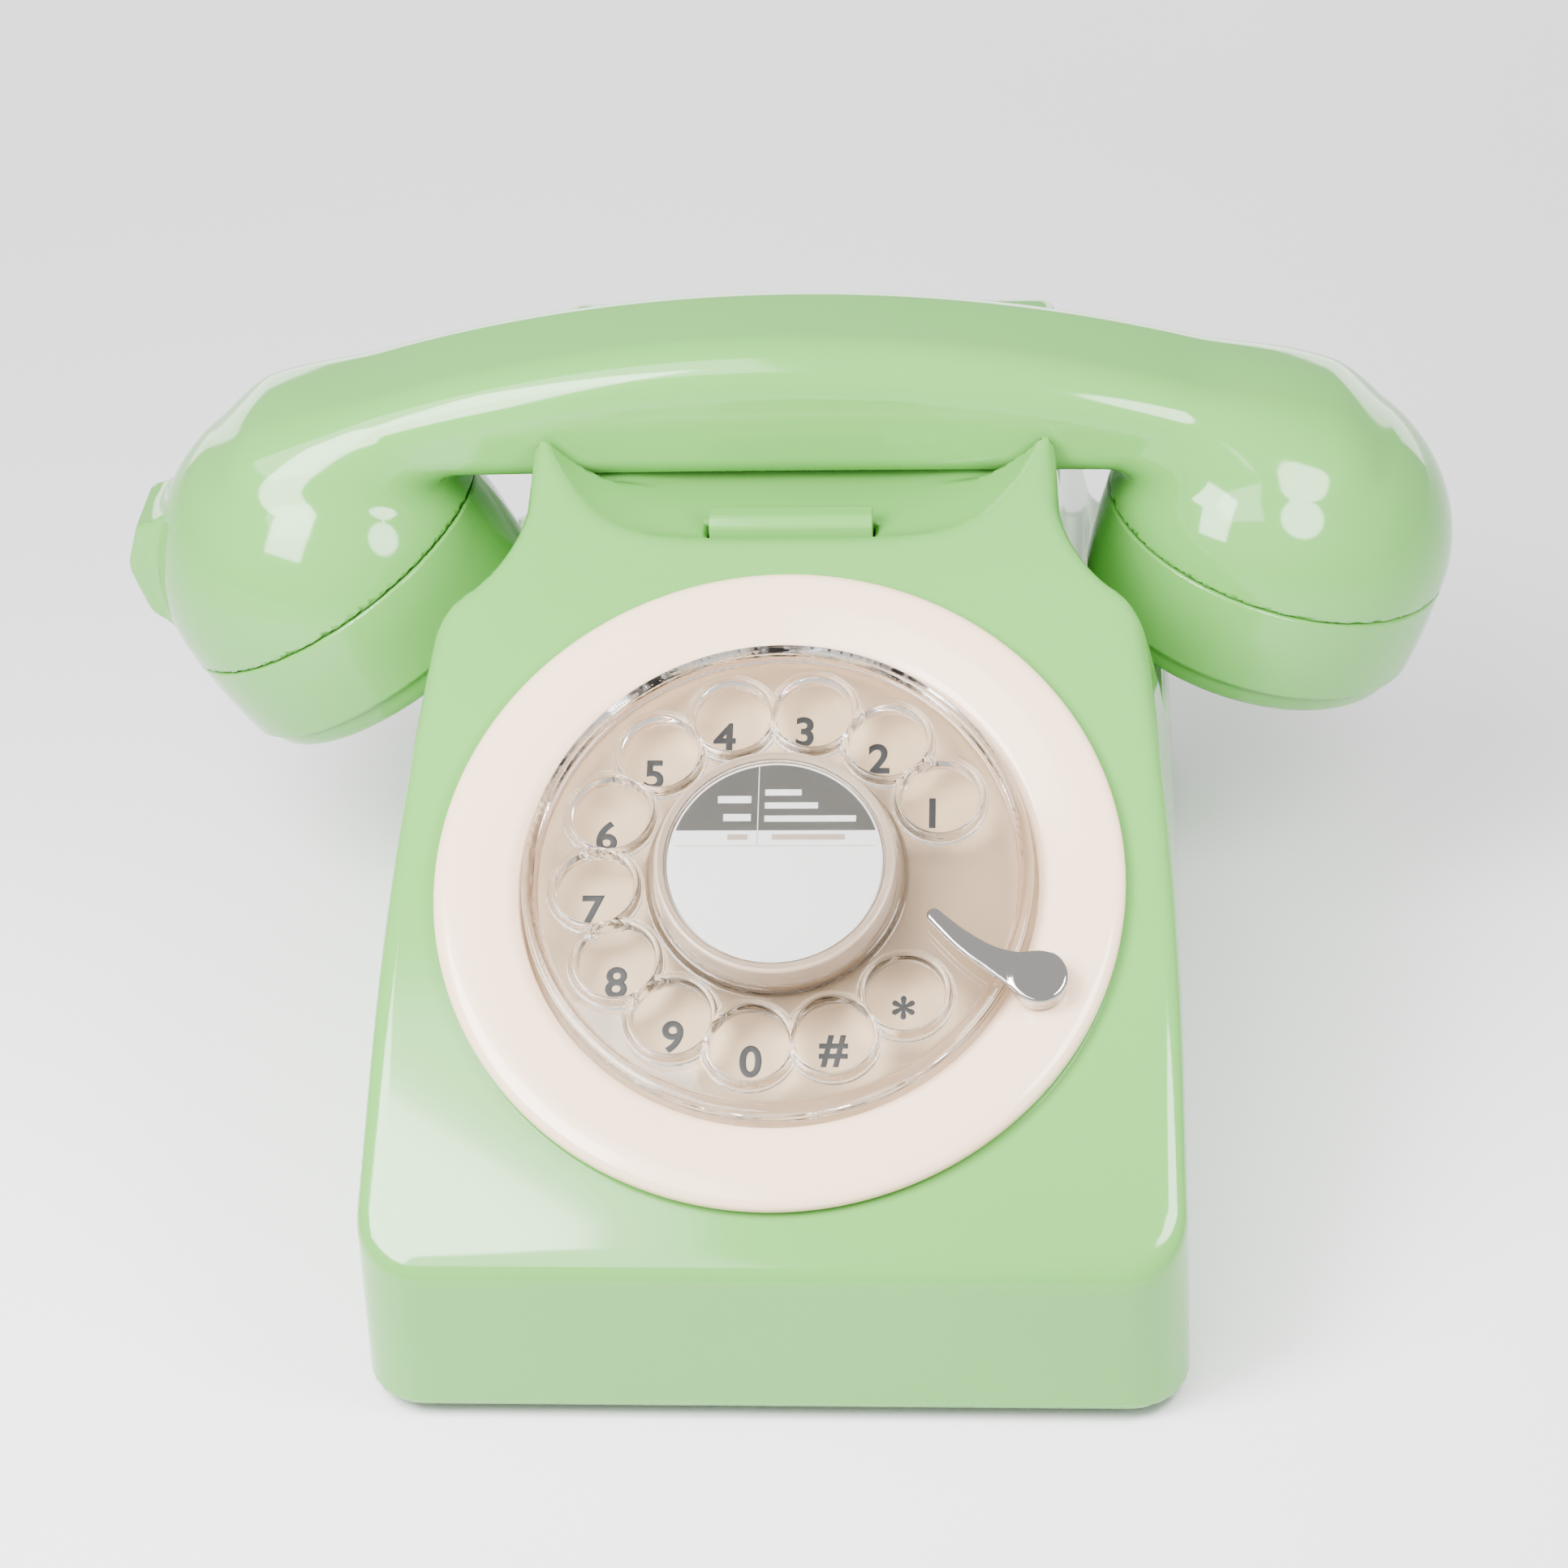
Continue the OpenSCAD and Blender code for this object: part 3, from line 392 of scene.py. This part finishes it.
surround_profile = rounded(
    [(43.7, -4.1), (52.2, -4.1), (52.2, 0.02), (58.25, 0.02), (58.25, 1.5), (56.6, 2.58), (51.0, 2.45),
     (45.2, 1.25), (43.7, 0.5)],
    [0.2, 0.2, 0.2, 0.15, 1.0, 2.6, 3.0, 1.0, 0.5], 9)
surround = turned("dial_surround_ring", surround_profile, DIAL_SPOT, 288)
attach(surround, "base")
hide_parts("dial_surround")
cream = moulded("glossy_cream", (0.97, 0.70, 0.50), 0.14, coat=0.1, grain=0.02, wander=0.012)
clothe(surround, cream)

# Number plate ---------------------------------------------------------------------------------------
# A satin beige disc with black printed numbers, seen through the clear finger wheel.
# It sits on the dial frame; the print is a thin layer of ink.

HOLES, FIRST_HOLE, HOLE_STEP = 12, 27.4, 26.2
HOLE_CIRCLE_R, HOLE_R = 30.6, 6.55
PLATE_TOP = -4.2
plate_profile = rounded([(5.3, -5.2), (50.2, -5.2), (50.2, PLATE_TOP), (5.3, PLATE_TOP)], [0.2] * 4, 5)
plate = turned("dial_number_plate", plate_profile, DIAL_SPOT)
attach(plate, "base")
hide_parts("number_plate")
beige = moulded("satin_beige", (0.55, 0.39, 0.235), 0.34, grain=0.08, wander=0.02, scale=1600.0)
clothe(plate, beige)


def printed(name, words, place_x, place_y, height, level, bold):
    """Printed characters as a thin solid, centred on a point of the spot's plane."""
    curve = bpy.data.curves.new(name, "FONT")
    curve.body = words
    curve.align_x, curve.align_y = "CENTER", "CENTER"
    curve.size = height
    curve.bevel_depth = bold
    curve.bevel_resolution = 0
    holder = bpy.data.objects.new(name, curve)
    bpy.context.scene.collection.objects.link(holder)
    bpy.context.view_layer.update()
    made = bpy.data.meshes.new_from_object(holder.evaluated_get(bpy.context.evaluated_depsgraph_get()))
    bpy.data.objects.remove(holder)
    places = np.empty(len(made.vertices) * 3)
    made.vertices.foreach_get("co", places)
    places = places.reshape(-1, 3)
    places[:, :2] -= (places[:, :2].max(0) + places[:, :2].min(0)) / 2
    places[:, 2] *= 0.03 / bold
    places += [place_x, place_y, level]
    faces = [list(face.vertices) for face in made.polygons]
    bpy.data.meshes.remove(made)
    return places, faces


def joined(name, parts, spot):
    """One mesh object from several lists of points and faces."""
    points, faces, base = [], [], 0
    for some_points, some_faces in parts:
        points.append(some_points)
        faces += [[v + base for v in face] for face in some_faces]
        base += len(some_points)
    return put_mesh(name, np.vstack(points), faces, spot=spot, smooth=False)


DIGIT_TALL, STAR_TALL, DIGIT_BOLD = 7.6, 8.6, 0.2
DIGIT_TURN, DIGIT_LEFT = 1.5, 1.2
number_parts = []
for k, character in enumerate("1234567890#*"):
    angle = math.radians(FIRST_HOLE + HOLE_STEP * k + DIGIT_TURN)
    tall = STAR_TALL if character == "*" else DIGIT_TALL
    digit_x = HOLE_CIRCLE_R * math.cos(angle) - DIGIT_LEFT
    digit_y = HOLE_CIRCLE_R * math.sin(angle)
    number_parts.append(
        printed("number", character, digit_x, digit_y, tall, PLATE_TOP + 0.04, DIGIT_BOLD))
numbers = joined("dial_numbers", number_parts, DIAL_SPOT)
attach(numbers, "base")
ink = moulded("black_ink", (0.012, 0.012, 0.012), 0.45, grain=0.05, wander=0.2, scale=2400.0)
clothe(numbers, ink)

# Finger wheel ---------------------------------------------------------------------------------------
# A disc moulded in clear acrylic: thin web, raised rim, a collar round each hole and a raised centre.
# It turns with the hub and springs back to its stop.


def wheel_field(x, y, z):
    """Clear wheel: web joined by small fillets to the rim, the collars and the raised centre."""
    r = np.hypot(x, y)
    nearest = None
    for k in range(HOLES):
        angle = math.radians(FIRST_HOLE + HOLE_STEP * k)
        gap = np.hypot(x - HOLE_CIRCLE_R * math.cos(angle), y - HOLE_CIRCLE_R * math.sin(angle))
        nearest = gap if nearest is None else np.minimum(nearest, gap)
    web = np.maximum(r - 42.2, np.abs(z - 2.1) - 1.1)
    rim = round_max(np.abs(r - 42.0) - 1.0, np.abs(z - 2.55) - 1.93, 0.7)
    collar = round_max(nearest - HOLE_R - 1.15, np.abs(z - 2.45) - 2.0, 0.6)
    middle = round_max(r - 21.7, np.abs(z - 2.8) - 1.75, 0.6)
    solid = round_min(round_min(web, rim, 0.7), round_min(collar, middle, 0.5), 0.6)
    solid = round_max(solid, HOLE_R - nearest, 0.5)
    well = np.maximum(r - 20.4, 3.25 - z)
    solid = round_max(solid, -well, 0.2)
    return round_max(solid, 3.05 - r, 0.1)


wheel = skin("clear_finger_wheel", wheel_field, (-44, -44, -0.3), (44, 44, 5.4), 0.42, DIAL_SPOT)
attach(wheel, "dial")
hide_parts("finger_wheel")


def clear(name, tint, roughness, bend):
    """Clear acrylic: light passes and bends, with a little haze from handling."""
    finish = moulded(name, tint, roughness, grain=0.01, wander=0.004)
    shader = finish.node_tree.nodes["Principled BSDF"]
    shader.inputs["Transmission Weight"].default_value = 1.0
    shader.inputs["IOR"].default_value = bend
    return finish


acrylic = clear("clear_acrylic", (0.985, 0.98, 0.97), 0.02, 1.49)
clothe(wheel, acrylic)

# Hub, label and cover -------------------------------------------------------------------------------
# A shallow beige cup screwed to the wheel's centre holds a round card under a clear cover.
# The card has a grey panel with plain light bars where a telephone has its printed words.

hub_profile = rounded([(0, 3.25), (20.3, 3.25), (20.2, 9.6), (18.5, 9.6), (18.5, 8.4), (0, 8.4)],
                      [0, 0.6, 0.7, 0.35, 0.1, 0], 7)
hub = turned("dial_hub_cup", hub_profile, DIAL_SPOT)
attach(hub, "dial")
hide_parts("dial_hub")
bronze = moulded("satin_bronze_ring", (0.42, 0.31, 0.22), 0.3, coat=0.2, grain=0.05, wander=0.03)
clothe(hub, bronze)

LABEL_R, LABEL_TOP = 18.0, 8.9
card_profile = rounded([(0, 8.42), (LABEL_R, 8.42), (LABEL_R, LABEL_TOP), (0, LABEL_TOP)],
                       [0, 0.1, 0.1, 0], 3)
card = turned("dial_label_card", card_profile, DIAL_SPOT)
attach(card, "dial")
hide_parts("label_card")
paper = moulded("white_card", (0.95, 0.95, 0.94), 0.5, grain=0.1, wander=0.01, scale=3000.0)
clothe(card, paper)


def bar_shape(left, right, low, high, level):
    """A thin printed bar between two heights and two sides."""
    corners = np.array([[left, low], [right, low], [right, high], [left, high]])
    points = np.vstack([np.c_[corners, np.full(4, level)], np.c_[corners, np.full(4, level + 0.02)]])
    faces = [[3, 2, 1, 0], [4, 5, 6, 7], [0, 1, 5, 4], [1, 2, 6, 5], [2, 3, 7, 6], [3, 0, 4, 7]]
    return points, faces


def panel_shape(radius, low, level):
    """The part of a disc above a straight line, as a thin printed panel."""
    reach = math.acos(low / radius)
    angle = np.linspace(math.pi / 2 - reach, math.pi / 2 + reach, 65)
    ring = np.c_[radius * np.cos(angle), radius * np.sin(angle)]
    count = len(ring)
    points = np.vstack([np.c_[ring, np.full(count, level)], np.c_[ring, np.full(count, level + 0.02)]])
    faces = [list(range(count))[::-1], list(range(count, 2 * count))]
    faces += [[k, (k + 1) % count, count + (k + 1) % count, count + k] for k in range(count)]
    return points, faces


panel = joined("label_panel", [panel_shape(LABEL_R - 0.35, 5.6, LABEL_TOP + 0.005)], DIAL_SPOT)
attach(panel, "dial")
grey_ink = moulded("warm_grey_ink", (0.055, 0.05, 0.042), 0.42, grain=0.06, wander=0.05, scale=3000.0)
clothe(panel, grey_ink)

DIVIDER_X = -3.0
LIGHT_BARS = [(-9.8, -4.2, 10.6, 11.9), (-8.8, -4.2, 7.3, 8.6),
              (-1.9, 4.2, 12.0, 13.1), (-1.9, 7.0, 9.6, 10.7), (-1.9, 13.4, 7.2, 8.3),
              (DIVIDER_X - 0.07, DIVIDER_X + 0.07, 5.6, 17.3)]
light_shapes = [bar_shape(*bar_box, LABEL_TOP + 0.03) for bar_box in LIGHT_BARS]
bars = joined("label_light_bars", light_shapes, DIAL_SPOT)
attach(bars, "dial")
clothe(bars, paper)
BROWN_BARS = [(-8.0, -4.6, 3.9, 4.9), (-0.6, 11.6, 3.9, 4.9), (-16.6, 16.6, 2.75, 2.86),
              (DIVIDER_X - 0.06, DIVIDER_X + 0.06, 2.8, 5.6)]
brown_shapes = [bar_shape(*bar_box, LABEL_TOP + 0.005) for bar_box in BROWN_BARS]
rules = joined("label_brown_rules", brown_shapes, DIAL_SPOT)
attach(rules, "dial")
brown_ink = moulded("brown_ink", (0.42, 0.32, 0.24), 0.45, grain=0.06, wander=0.05, scale=3000.0)
clothe(rules, brown_ink)

cover_profile = rounded([(0, 9.05), (18.2, 9.05), (18.2, 9.75), (19.5, 9.75), (19.4, 10.4), (18.3, 10.8),
                         (0, 10.84)], [0, 0.15, 0.1, 0.2, 0.5, 1.2, 0], 7)
cover = turned("label_clear_cover", cover_profile, DIAL_SPOT)
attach(cover, "dial")
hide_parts("label_cover")
clothe(cover, clear("clear_cover", (0.99, 0.99, 0.985), 0.015, 1.12))

# Finger stop ----------------------------------------------------------------------------------------
# A polished chrome hook, pressed from strip: round foot, waisted arm and a small rounded tip.
# It is screwed to the dial frame through its foot and reaches over the wheel.

STOP_ANGLE = math.radians(-24)
STOP_FOOT = 48.0 * np.array([math.cos(STOP_ANGLE), math.sin(STOP_ANGLE)])
STOP_TIP_ANGLE = STOP_ANGLE + math.radians(6)
STOP_TIP = 27.9 * np.array([math.cos(STOP_TIP_ANGLE), math.sin(STOP_TIP_ANGLE)])


def stop_field(x, y, z):
    """Comma shape: distance to a line whose width swells towards the foot, between two heights."""
    way = STOP_TIP - STOP_FOOT
    length = np.linalg.norm(way)
    way = way / length
    along = np.clip(((x - STOP_FOOT[0]) * way[0] + (y - STOP_FOOT[1]) * way[1]) / length, 0, 1)
    bow = 1.5 * np.sin(np.pi * along)
    off_x = x - STOP_FOOT[0] - way[0] * along * length + way[1] * bow
    off_y = y - STOP_FOOT[1] - way[1] * along * length - way[0] * bow
    width = 1.2 + 1.5 * (1 - along) + 1.85 * np.clip(1 - 2.2 * along, 0, 1) ** 1.5
    shape = np.hypot(off_x, off_y) - width
    arm = round_max(shape, np.abs(z - 6.1) - 0.78, 0.45)
    foot = np.hypot(x - STOP_FOOT[0], y - STOP_FOOT[1])
    skirt = round_max(foot - 4.55, np.abs(z - 4.75) - 2.1, 0.35)
    leg = np.maximum(foot - 2.55, np.abs(z - 0.5) - 4.6)
    return np.minimum(round_min(arm, skirt, 0.8), leg)


stop = skin("chrome_finger_stop", stop_field, (24, -27, -4.6), (52, -6, 7.6), 0.26, DIAL_SPOT)
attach(stop, "base")
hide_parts("finger_stop")
chrome = moulded("polished_chrome", (0.42, 0.40, 0.39), 0.06, grain=0.02, wander=0.02, metal=1.0)
clothe(stop, chrome)

# Handset --------------------------------------------------------------------------------------------
# A hollow green moulding: arched grip that flows into two domed cups, with a boss for the cord's socket.
# The capsules drop in from below and are held by the two screwed caps.

shell_high = np.array(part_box("handset_shell")[1]) * 1000
HANDSET_X = -1.0
GRIP_Y = 50.05
SEAT_Z = 100.76
GRIP_TOP = shell_high[2] - 0.05
ARCH_R = 265.0
CUP_R = 32.2
MOUTH_DOME_HIGH, EAR_DOME_HIGH = 33.4, 29.4
HANDSET_WALL = 2.7


def tilted(origin_x, origin_z, lean):
    """Axes of a cup: +Z out of its dome, leaning by an angle about the row's Y axis."""
    a = math.radians(lean)
    turn = np.array([[math.cos(a), 0, -math.sin(a)], [0, 1, 0], [math.sin(a), 0, math.cos(a)]])
    return np.array([origin_x, GRIP_Y, origin_z]), turn


MOUTH_SPOT = tilted(HANDSET_X - 88, 76.2, -30)
EAR_SPOT = tilted(HANDSET_X + 88, 81.6, 16)


def in_spot(spot, x, y, z):
    """Coordinates in a spot's own axes."""
    origin, turn = spot
    dx, dy, dz = x - origin[0], y - origin[1], z - origin[2]
    return [turn[k][0] * dx + turn[k][1] * dy + turn[k][2] * dz for k in range(3)]


def dome(x, y, z, height):
    """Half an egg on top of a short cylinder: scaled distance, corrected by its slope."""
    up = np.maximum(z, 0)
    flat = np.hypot(x, y)
    k = np.sqrt((flat / CUP_R) ** 2 + (up / height) ** 2)
    slope = np.sqrt((flat / CUP_R ** 2) ** 2 + (up / height ** 2) ** 2)
    return (k - 1) * k / np.maximum(slope, 1e-6)


def handset_outer(x, y, z):
    """Grip, two domes and the cord's boss, flowing into each other."""
    across = x - HANDSET_X
    arch = np.hypot(across, z - (GRIP_TOP - ARCH_R)) - ARCH_R
    half_wide = 15.7 + 1.2 * (np.abs(across) / 80) ** 2
    side = np.abs(y - GRIP_Y) - half_wide
    grip = round_max(arch, side, 8.5)
    grip = round_max(grip, SEAT_Z + 0.06 - z, 4.5)
    grip = round_max(grip, np.abs(across) - 101, 4)
    mx, my, mz = in_spot(MOUTH_SPOT, x, y, z)
    ex, ey, ez = in_spot(EAR_SPOT, x, y, z)
    mouth = dome(mx, my, mz, MOUTH_DOME_HIGH)
    ear = dome(ex, ey, ez, EAR_DOME_HIGH)
    whole = round_min(round_min(grip, mouth, 8), ear, 8)
    sx, sz = socket_axes(mx, mz)
    upper = (-7.1 * sx + 5 * (sz - 5.1)) / 8.684
    lower = (-2.9 * sx - 2.5 * (sz + 5.1)) / 3.829
    boss = round_max(round_max(0.05 - sx, np.abs(my) - 7.95, 1.6), round_max(upper, lower, 1.0), 1.2)
    boss = np.maximum(boss, np.maximum(sx - 13, np.abs(sz - 2) - 11))
    return round_min(whole, boss, 2.0)


def socket_axes(mx, mz):
    """Depth into the cord's socket and height across it, from the mouth cup's own axes."""
    turn = math.radians(12.4)
    sx = (mx + 32.6) * math.cos(turn) - (mz - 15.7) * math.sin(turn)
    sz = (mx + 32.6) * math.sin(turn) + (mz - 15.7) * math.cos(turn)
    return sx, sz


def handset_field(x, y, z):
    """The handset as a shell, cut at the seams, with the socket's square mouth."""
    outer = handset_outer(x, y, z)
    solid = np.maximum(outer, -(outer + HANDSET_WALL))
    mx, my, mz = in_spot(MOUTH_SPOT, x, y, z)
    ex, ey, ez = in_spot(EAR_SPOT, x, y, z)
    for cx, cy, cz in ((mx, my, mz), (ex, ey, ez)):
        below = np.maximum(cz, np.hypot(cx, cy) - CUP_R - 6)
        solid = round_max(solid, -below, 0.5)
    sx, sz = socket_axes(mx, mz)
    mouth = np.maximum(np.maximum(np.abs(my) - 4.6, np.abs(sz) - 4.1), np.abs(sx - 5) - 9)
    return np.maximum(solid, -mouth)


handset = skin("handset_moulding", handset_field, (-128, 14, 60), (123, 86, 128), 1.0)
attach(handset, "handset")
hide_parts("handset_shell")
clothe(handset, green_abs)

# Handset caps ---------------------------------------------------------------------------------------
# Two green caps screwed to the cups: a tall band, a fine groove, a narrower ring and a pierced face.
# The earpiece has a ring of holes, the mouthpiece two rings and one in the middle.

CAP_H = 21.0
SOUND_HOLE_R = 1.35


def cap_field(rings):
    """Returns the field of a cap whose face is pierced by rings of (radius, count) holes."""
    def field(x, y, z):
        r = np.hypot(x, y)
        up = z + 0.28
        band_r = CUP_R - 0.02 - 0.0042 * np.maximum(-z - 4, 0) ** 2
        band = round_max(round_max(r - band_r, up, 0.35), -17.3 - z, 0.5)
        ring = round_max(r - (CUP_R - 1.9 - 0.14 * np.maximum(-z - 17.5, 0) ** 1.6), -CAP_H - 1.2 - z, 1.6)
        ring = np.maximum(ring, z + 12)
        solid = np.minimum(band, ring)
        dish = np.maximum(r - 22.8, z + CAP_H - 1.2)
        solid = round_max(solid, -dish, 0.8)
        solid = np.maximum(solid, -np.maximum(r - (CUP_R - 4.4), -(z + 17.2)))
        for radius, count in rings:
            for k in range(count):
                a = 2 * math.pi * k / count
                hole = np.hypot(x - radius * math.cos(a), y - radius * math.sin(a)) - SOUND_HOLE_R
                solid = round_max(solid, -hole, 0.3)
        return solid
    return field


for name, node, spot, rings in (
        ("earpiece_cap", "ear_cap", EAR_SPOT, [(7.0, 6)]),
        ("mouthpiece_cap", "mouth_cap", MOUTH_SPOT, [(0.0, 1), (6.5, 6), (12.0, 8)])):
    cap = skin(name, cap_field(rings), (-33.4, -33.4, -24), (33.4, 33.4, 1.2), 0.6, spot)
    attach(cap, "handset")
    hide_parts(node)
    clothe(cap, green_abs)

# Works, base and sockets ----------------------------------------------------------------------------
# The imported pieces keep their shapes: base, feet, dial train, cradle lever, ringer, board and sockets.
# Each takes the finish that its record slot names, with its own grain.

PLAIN_FINISHES = {
    "black_base": dict(colour=(0.018, 0.018, 0.02), roughness=0.38, grain=0.25, wander=0.1),
    "rubber_foot": dict(colour=(0.02, 0.02, 0.02), roughness=0.7, grain=0.4, wander=0.15),
    "board_green": dict(colour=(0.02, 0.14, 0.05), roughness=0.3, coat=0.3, grain=0.1, wander=0.15),
    "transformer_iron": dict(colour=(0.30, 0.17, 0.07), roughness=0.35, coat=0.3, grain=0.3, wander=0.2),
    "capacitor_film": dict(colour=(0.42, 0.05, 0.03), roughness=0.25, coat=0.2, grain=0.1, wander=0.08),
    "white_nylon": dict(colour=(0.72, 0.70, 0.62), roughness=0.4, grain=0.15, wander=0.04),
    "phenolic": dict(colour=(0.11, 0.05, 0.025), roughness=0.4, grain=0.2, wander=0.2),
    "black_plastic": dict(colour=(0.015, 0.015, 0.016), roughness=0.25, grain=0.1, wander=0.1),
    "socket_grey": dict(colour=(0.62, 0.58, 0.70), roughness=0.35, grain=0.1, wander=0.04),
    "spring_steel": dict(colour=(0.22, 0.25, 0.32), roughness=0.28, grain=0.1, wander=0.15, metal=1.0),
    "coil_copper": dict(colour=(0.48, 0.16, 0.05), roughness=0.3, coat=0.3, grain=0.5, wander=0.15),
    "brass_works": dict(colour=(0.66, 0.46, 0.17), roughness=0.25, grain=0.15, wander=0.1, metal=1.0),
    "gong_brass": dict(colour=(0.70, 0.51, 0.20), roughness=0.18, grain=0.08, wander=0.08, metal=1.0),
    "capsule_metal": dict(colour=(0.62, 0.63, 0.64), roughness=0.3, grain=0.12, wander=0.06, metal=1.0),
    "steel_parts": dict(colour=(0.50, 0.51, 0.52), roughness=0.3, grain=0.12, wander=0.08, metal=1.0),
}
finishes = {slot: moulded(slot, **facts) for slot, facts in PLAIN_FINISHES.items()}
for part in frame["record"]["subparts"]:
    if part["material_slot"] in finishes:
        clothe(frame["nodes"][part["node"]], finishes[part["material_slot"]])

# Floor, lights and camera ---------------------------------------------------------------------------
# A white table that fades into a white surround, two soft boxes in front, one large one overhead
# and a bright wall behind, with the camera above and a little to the right of the front.

floor = put_mesh("floor", [(-3000, -3000, 0), (3000, -3000, 0), (3000, 5000, 0), (-3000, 5000, 0)],
                 [[0, 1, 2, 3]])
clothe(floor, moulded("white_floor", (0.93, 0.935, 0.935), 0.6, wander=0.003))

world = bpy.data.worlds.new("studio")
world.use_nodes = True
world.node_tree.nodes["Background"].inputs["Color"].default_value = (1, 1, 1, 1)
world.node_tree.nodes["Background"].inputs["Strength"].default_value = 1.0
bpy.context.scene.world = world


def placed_axes(side, up, back, spot):
    """The matrix of something whose own X, Y and Z axes and place are given."""
    return Matrix(np.vstack([np.stack([side, up, back, spot], 1), [0, 0, 0, 1]]).tolist())


def soft_box(name, place, aim, width, height, power, shape="RECTANGLE"):
    """An area light at a place, in millimetres, that faces the aim."""
    lamp = bpy.data.lights.new(name, "AREA")
    lamp.shape = shape
    lamp.size, lamp.size_y = width / 1000, height / 1000
    lamp.energy = power
    holder = bpy.data.objects.new(name, lamp)
    bpy.context.scene.collection.objects.link(holder)
    place, aim = np.array(place, float), np.array(aim, float)
    back = place - aim
    back /= np.linalg.norm(back)
    side = np.cross((0, 0, 1), back)
    side = side / np.linalg.norm(side) if np.linalg.norm(side) > 1e-6 else np.array([1.0, 0, 0])
    up = np.cross(back, side)
    spot = (place + [middle_x, 0, 0]) / 1000
    holder.matrix_world = placed_axes(side, up, back, spot)
    return holder


soft_box("soft_box_left", (-172, -190, 312), (-20, 40, 80), 150, 215, 3.2)
soft_box("soft_box_right", (152, -138, 250), (20, 40, 80), 120, 120, 1.0, "DISK")
soft_box("soft_box_overhead", (-510, -720, 1150), (-510, -720, 60), 780, 980, 22)
soft_box("bright_wall", (0, 900, 150), (0, 50, 110), 1800, 280, 8)

CAMERA_LENS, SENSOR = 90.53, 36.0
LOOK_UP, LOOK_SIDE, ROLL = math.radians(34.029), math.radians(4.934), math.radians(2.957)
AIM = np.array([0, 0, 60.0])
DISTANCE = 702.44
back = np.array([math.sin(LOOK_SIDE) * math.cos(LOOK_UP), -math.cos(LOOK_SIDE) * math.cos(LOOK_UP),
                 math.sin(LOOK_UP)])
right = np.array([math.cos(LOOK_SIDE), math.sin(LOOK_SIDE), 0])
up = np.cross(back, right)
side = right * math.cos(ROLL) - up * math.sin(ROLL)
top = right * math.sin(ROLL) + up * math.cos(ROLL)
eye = (AIM + DISTANCE * back + [middle_x, 0, 0]) / 1000
camera_data = bpy.data.cameras.new("camera")
camera_data.lens, camera_data.sensor_width = CAMERA_LENS, SENSOR
camera_data.shift_x, camera_data.shift_y = -0.00683, -0.00554
camera_data.clip_start = 0.01
camera = bpy.data.objects.new("camera", camera_data)
bpy.context.scene.collection.objects.link(camera)
camera.matrix_world = placed_axes(side, top, back, eye)
bpy.context.scene.camera = camera
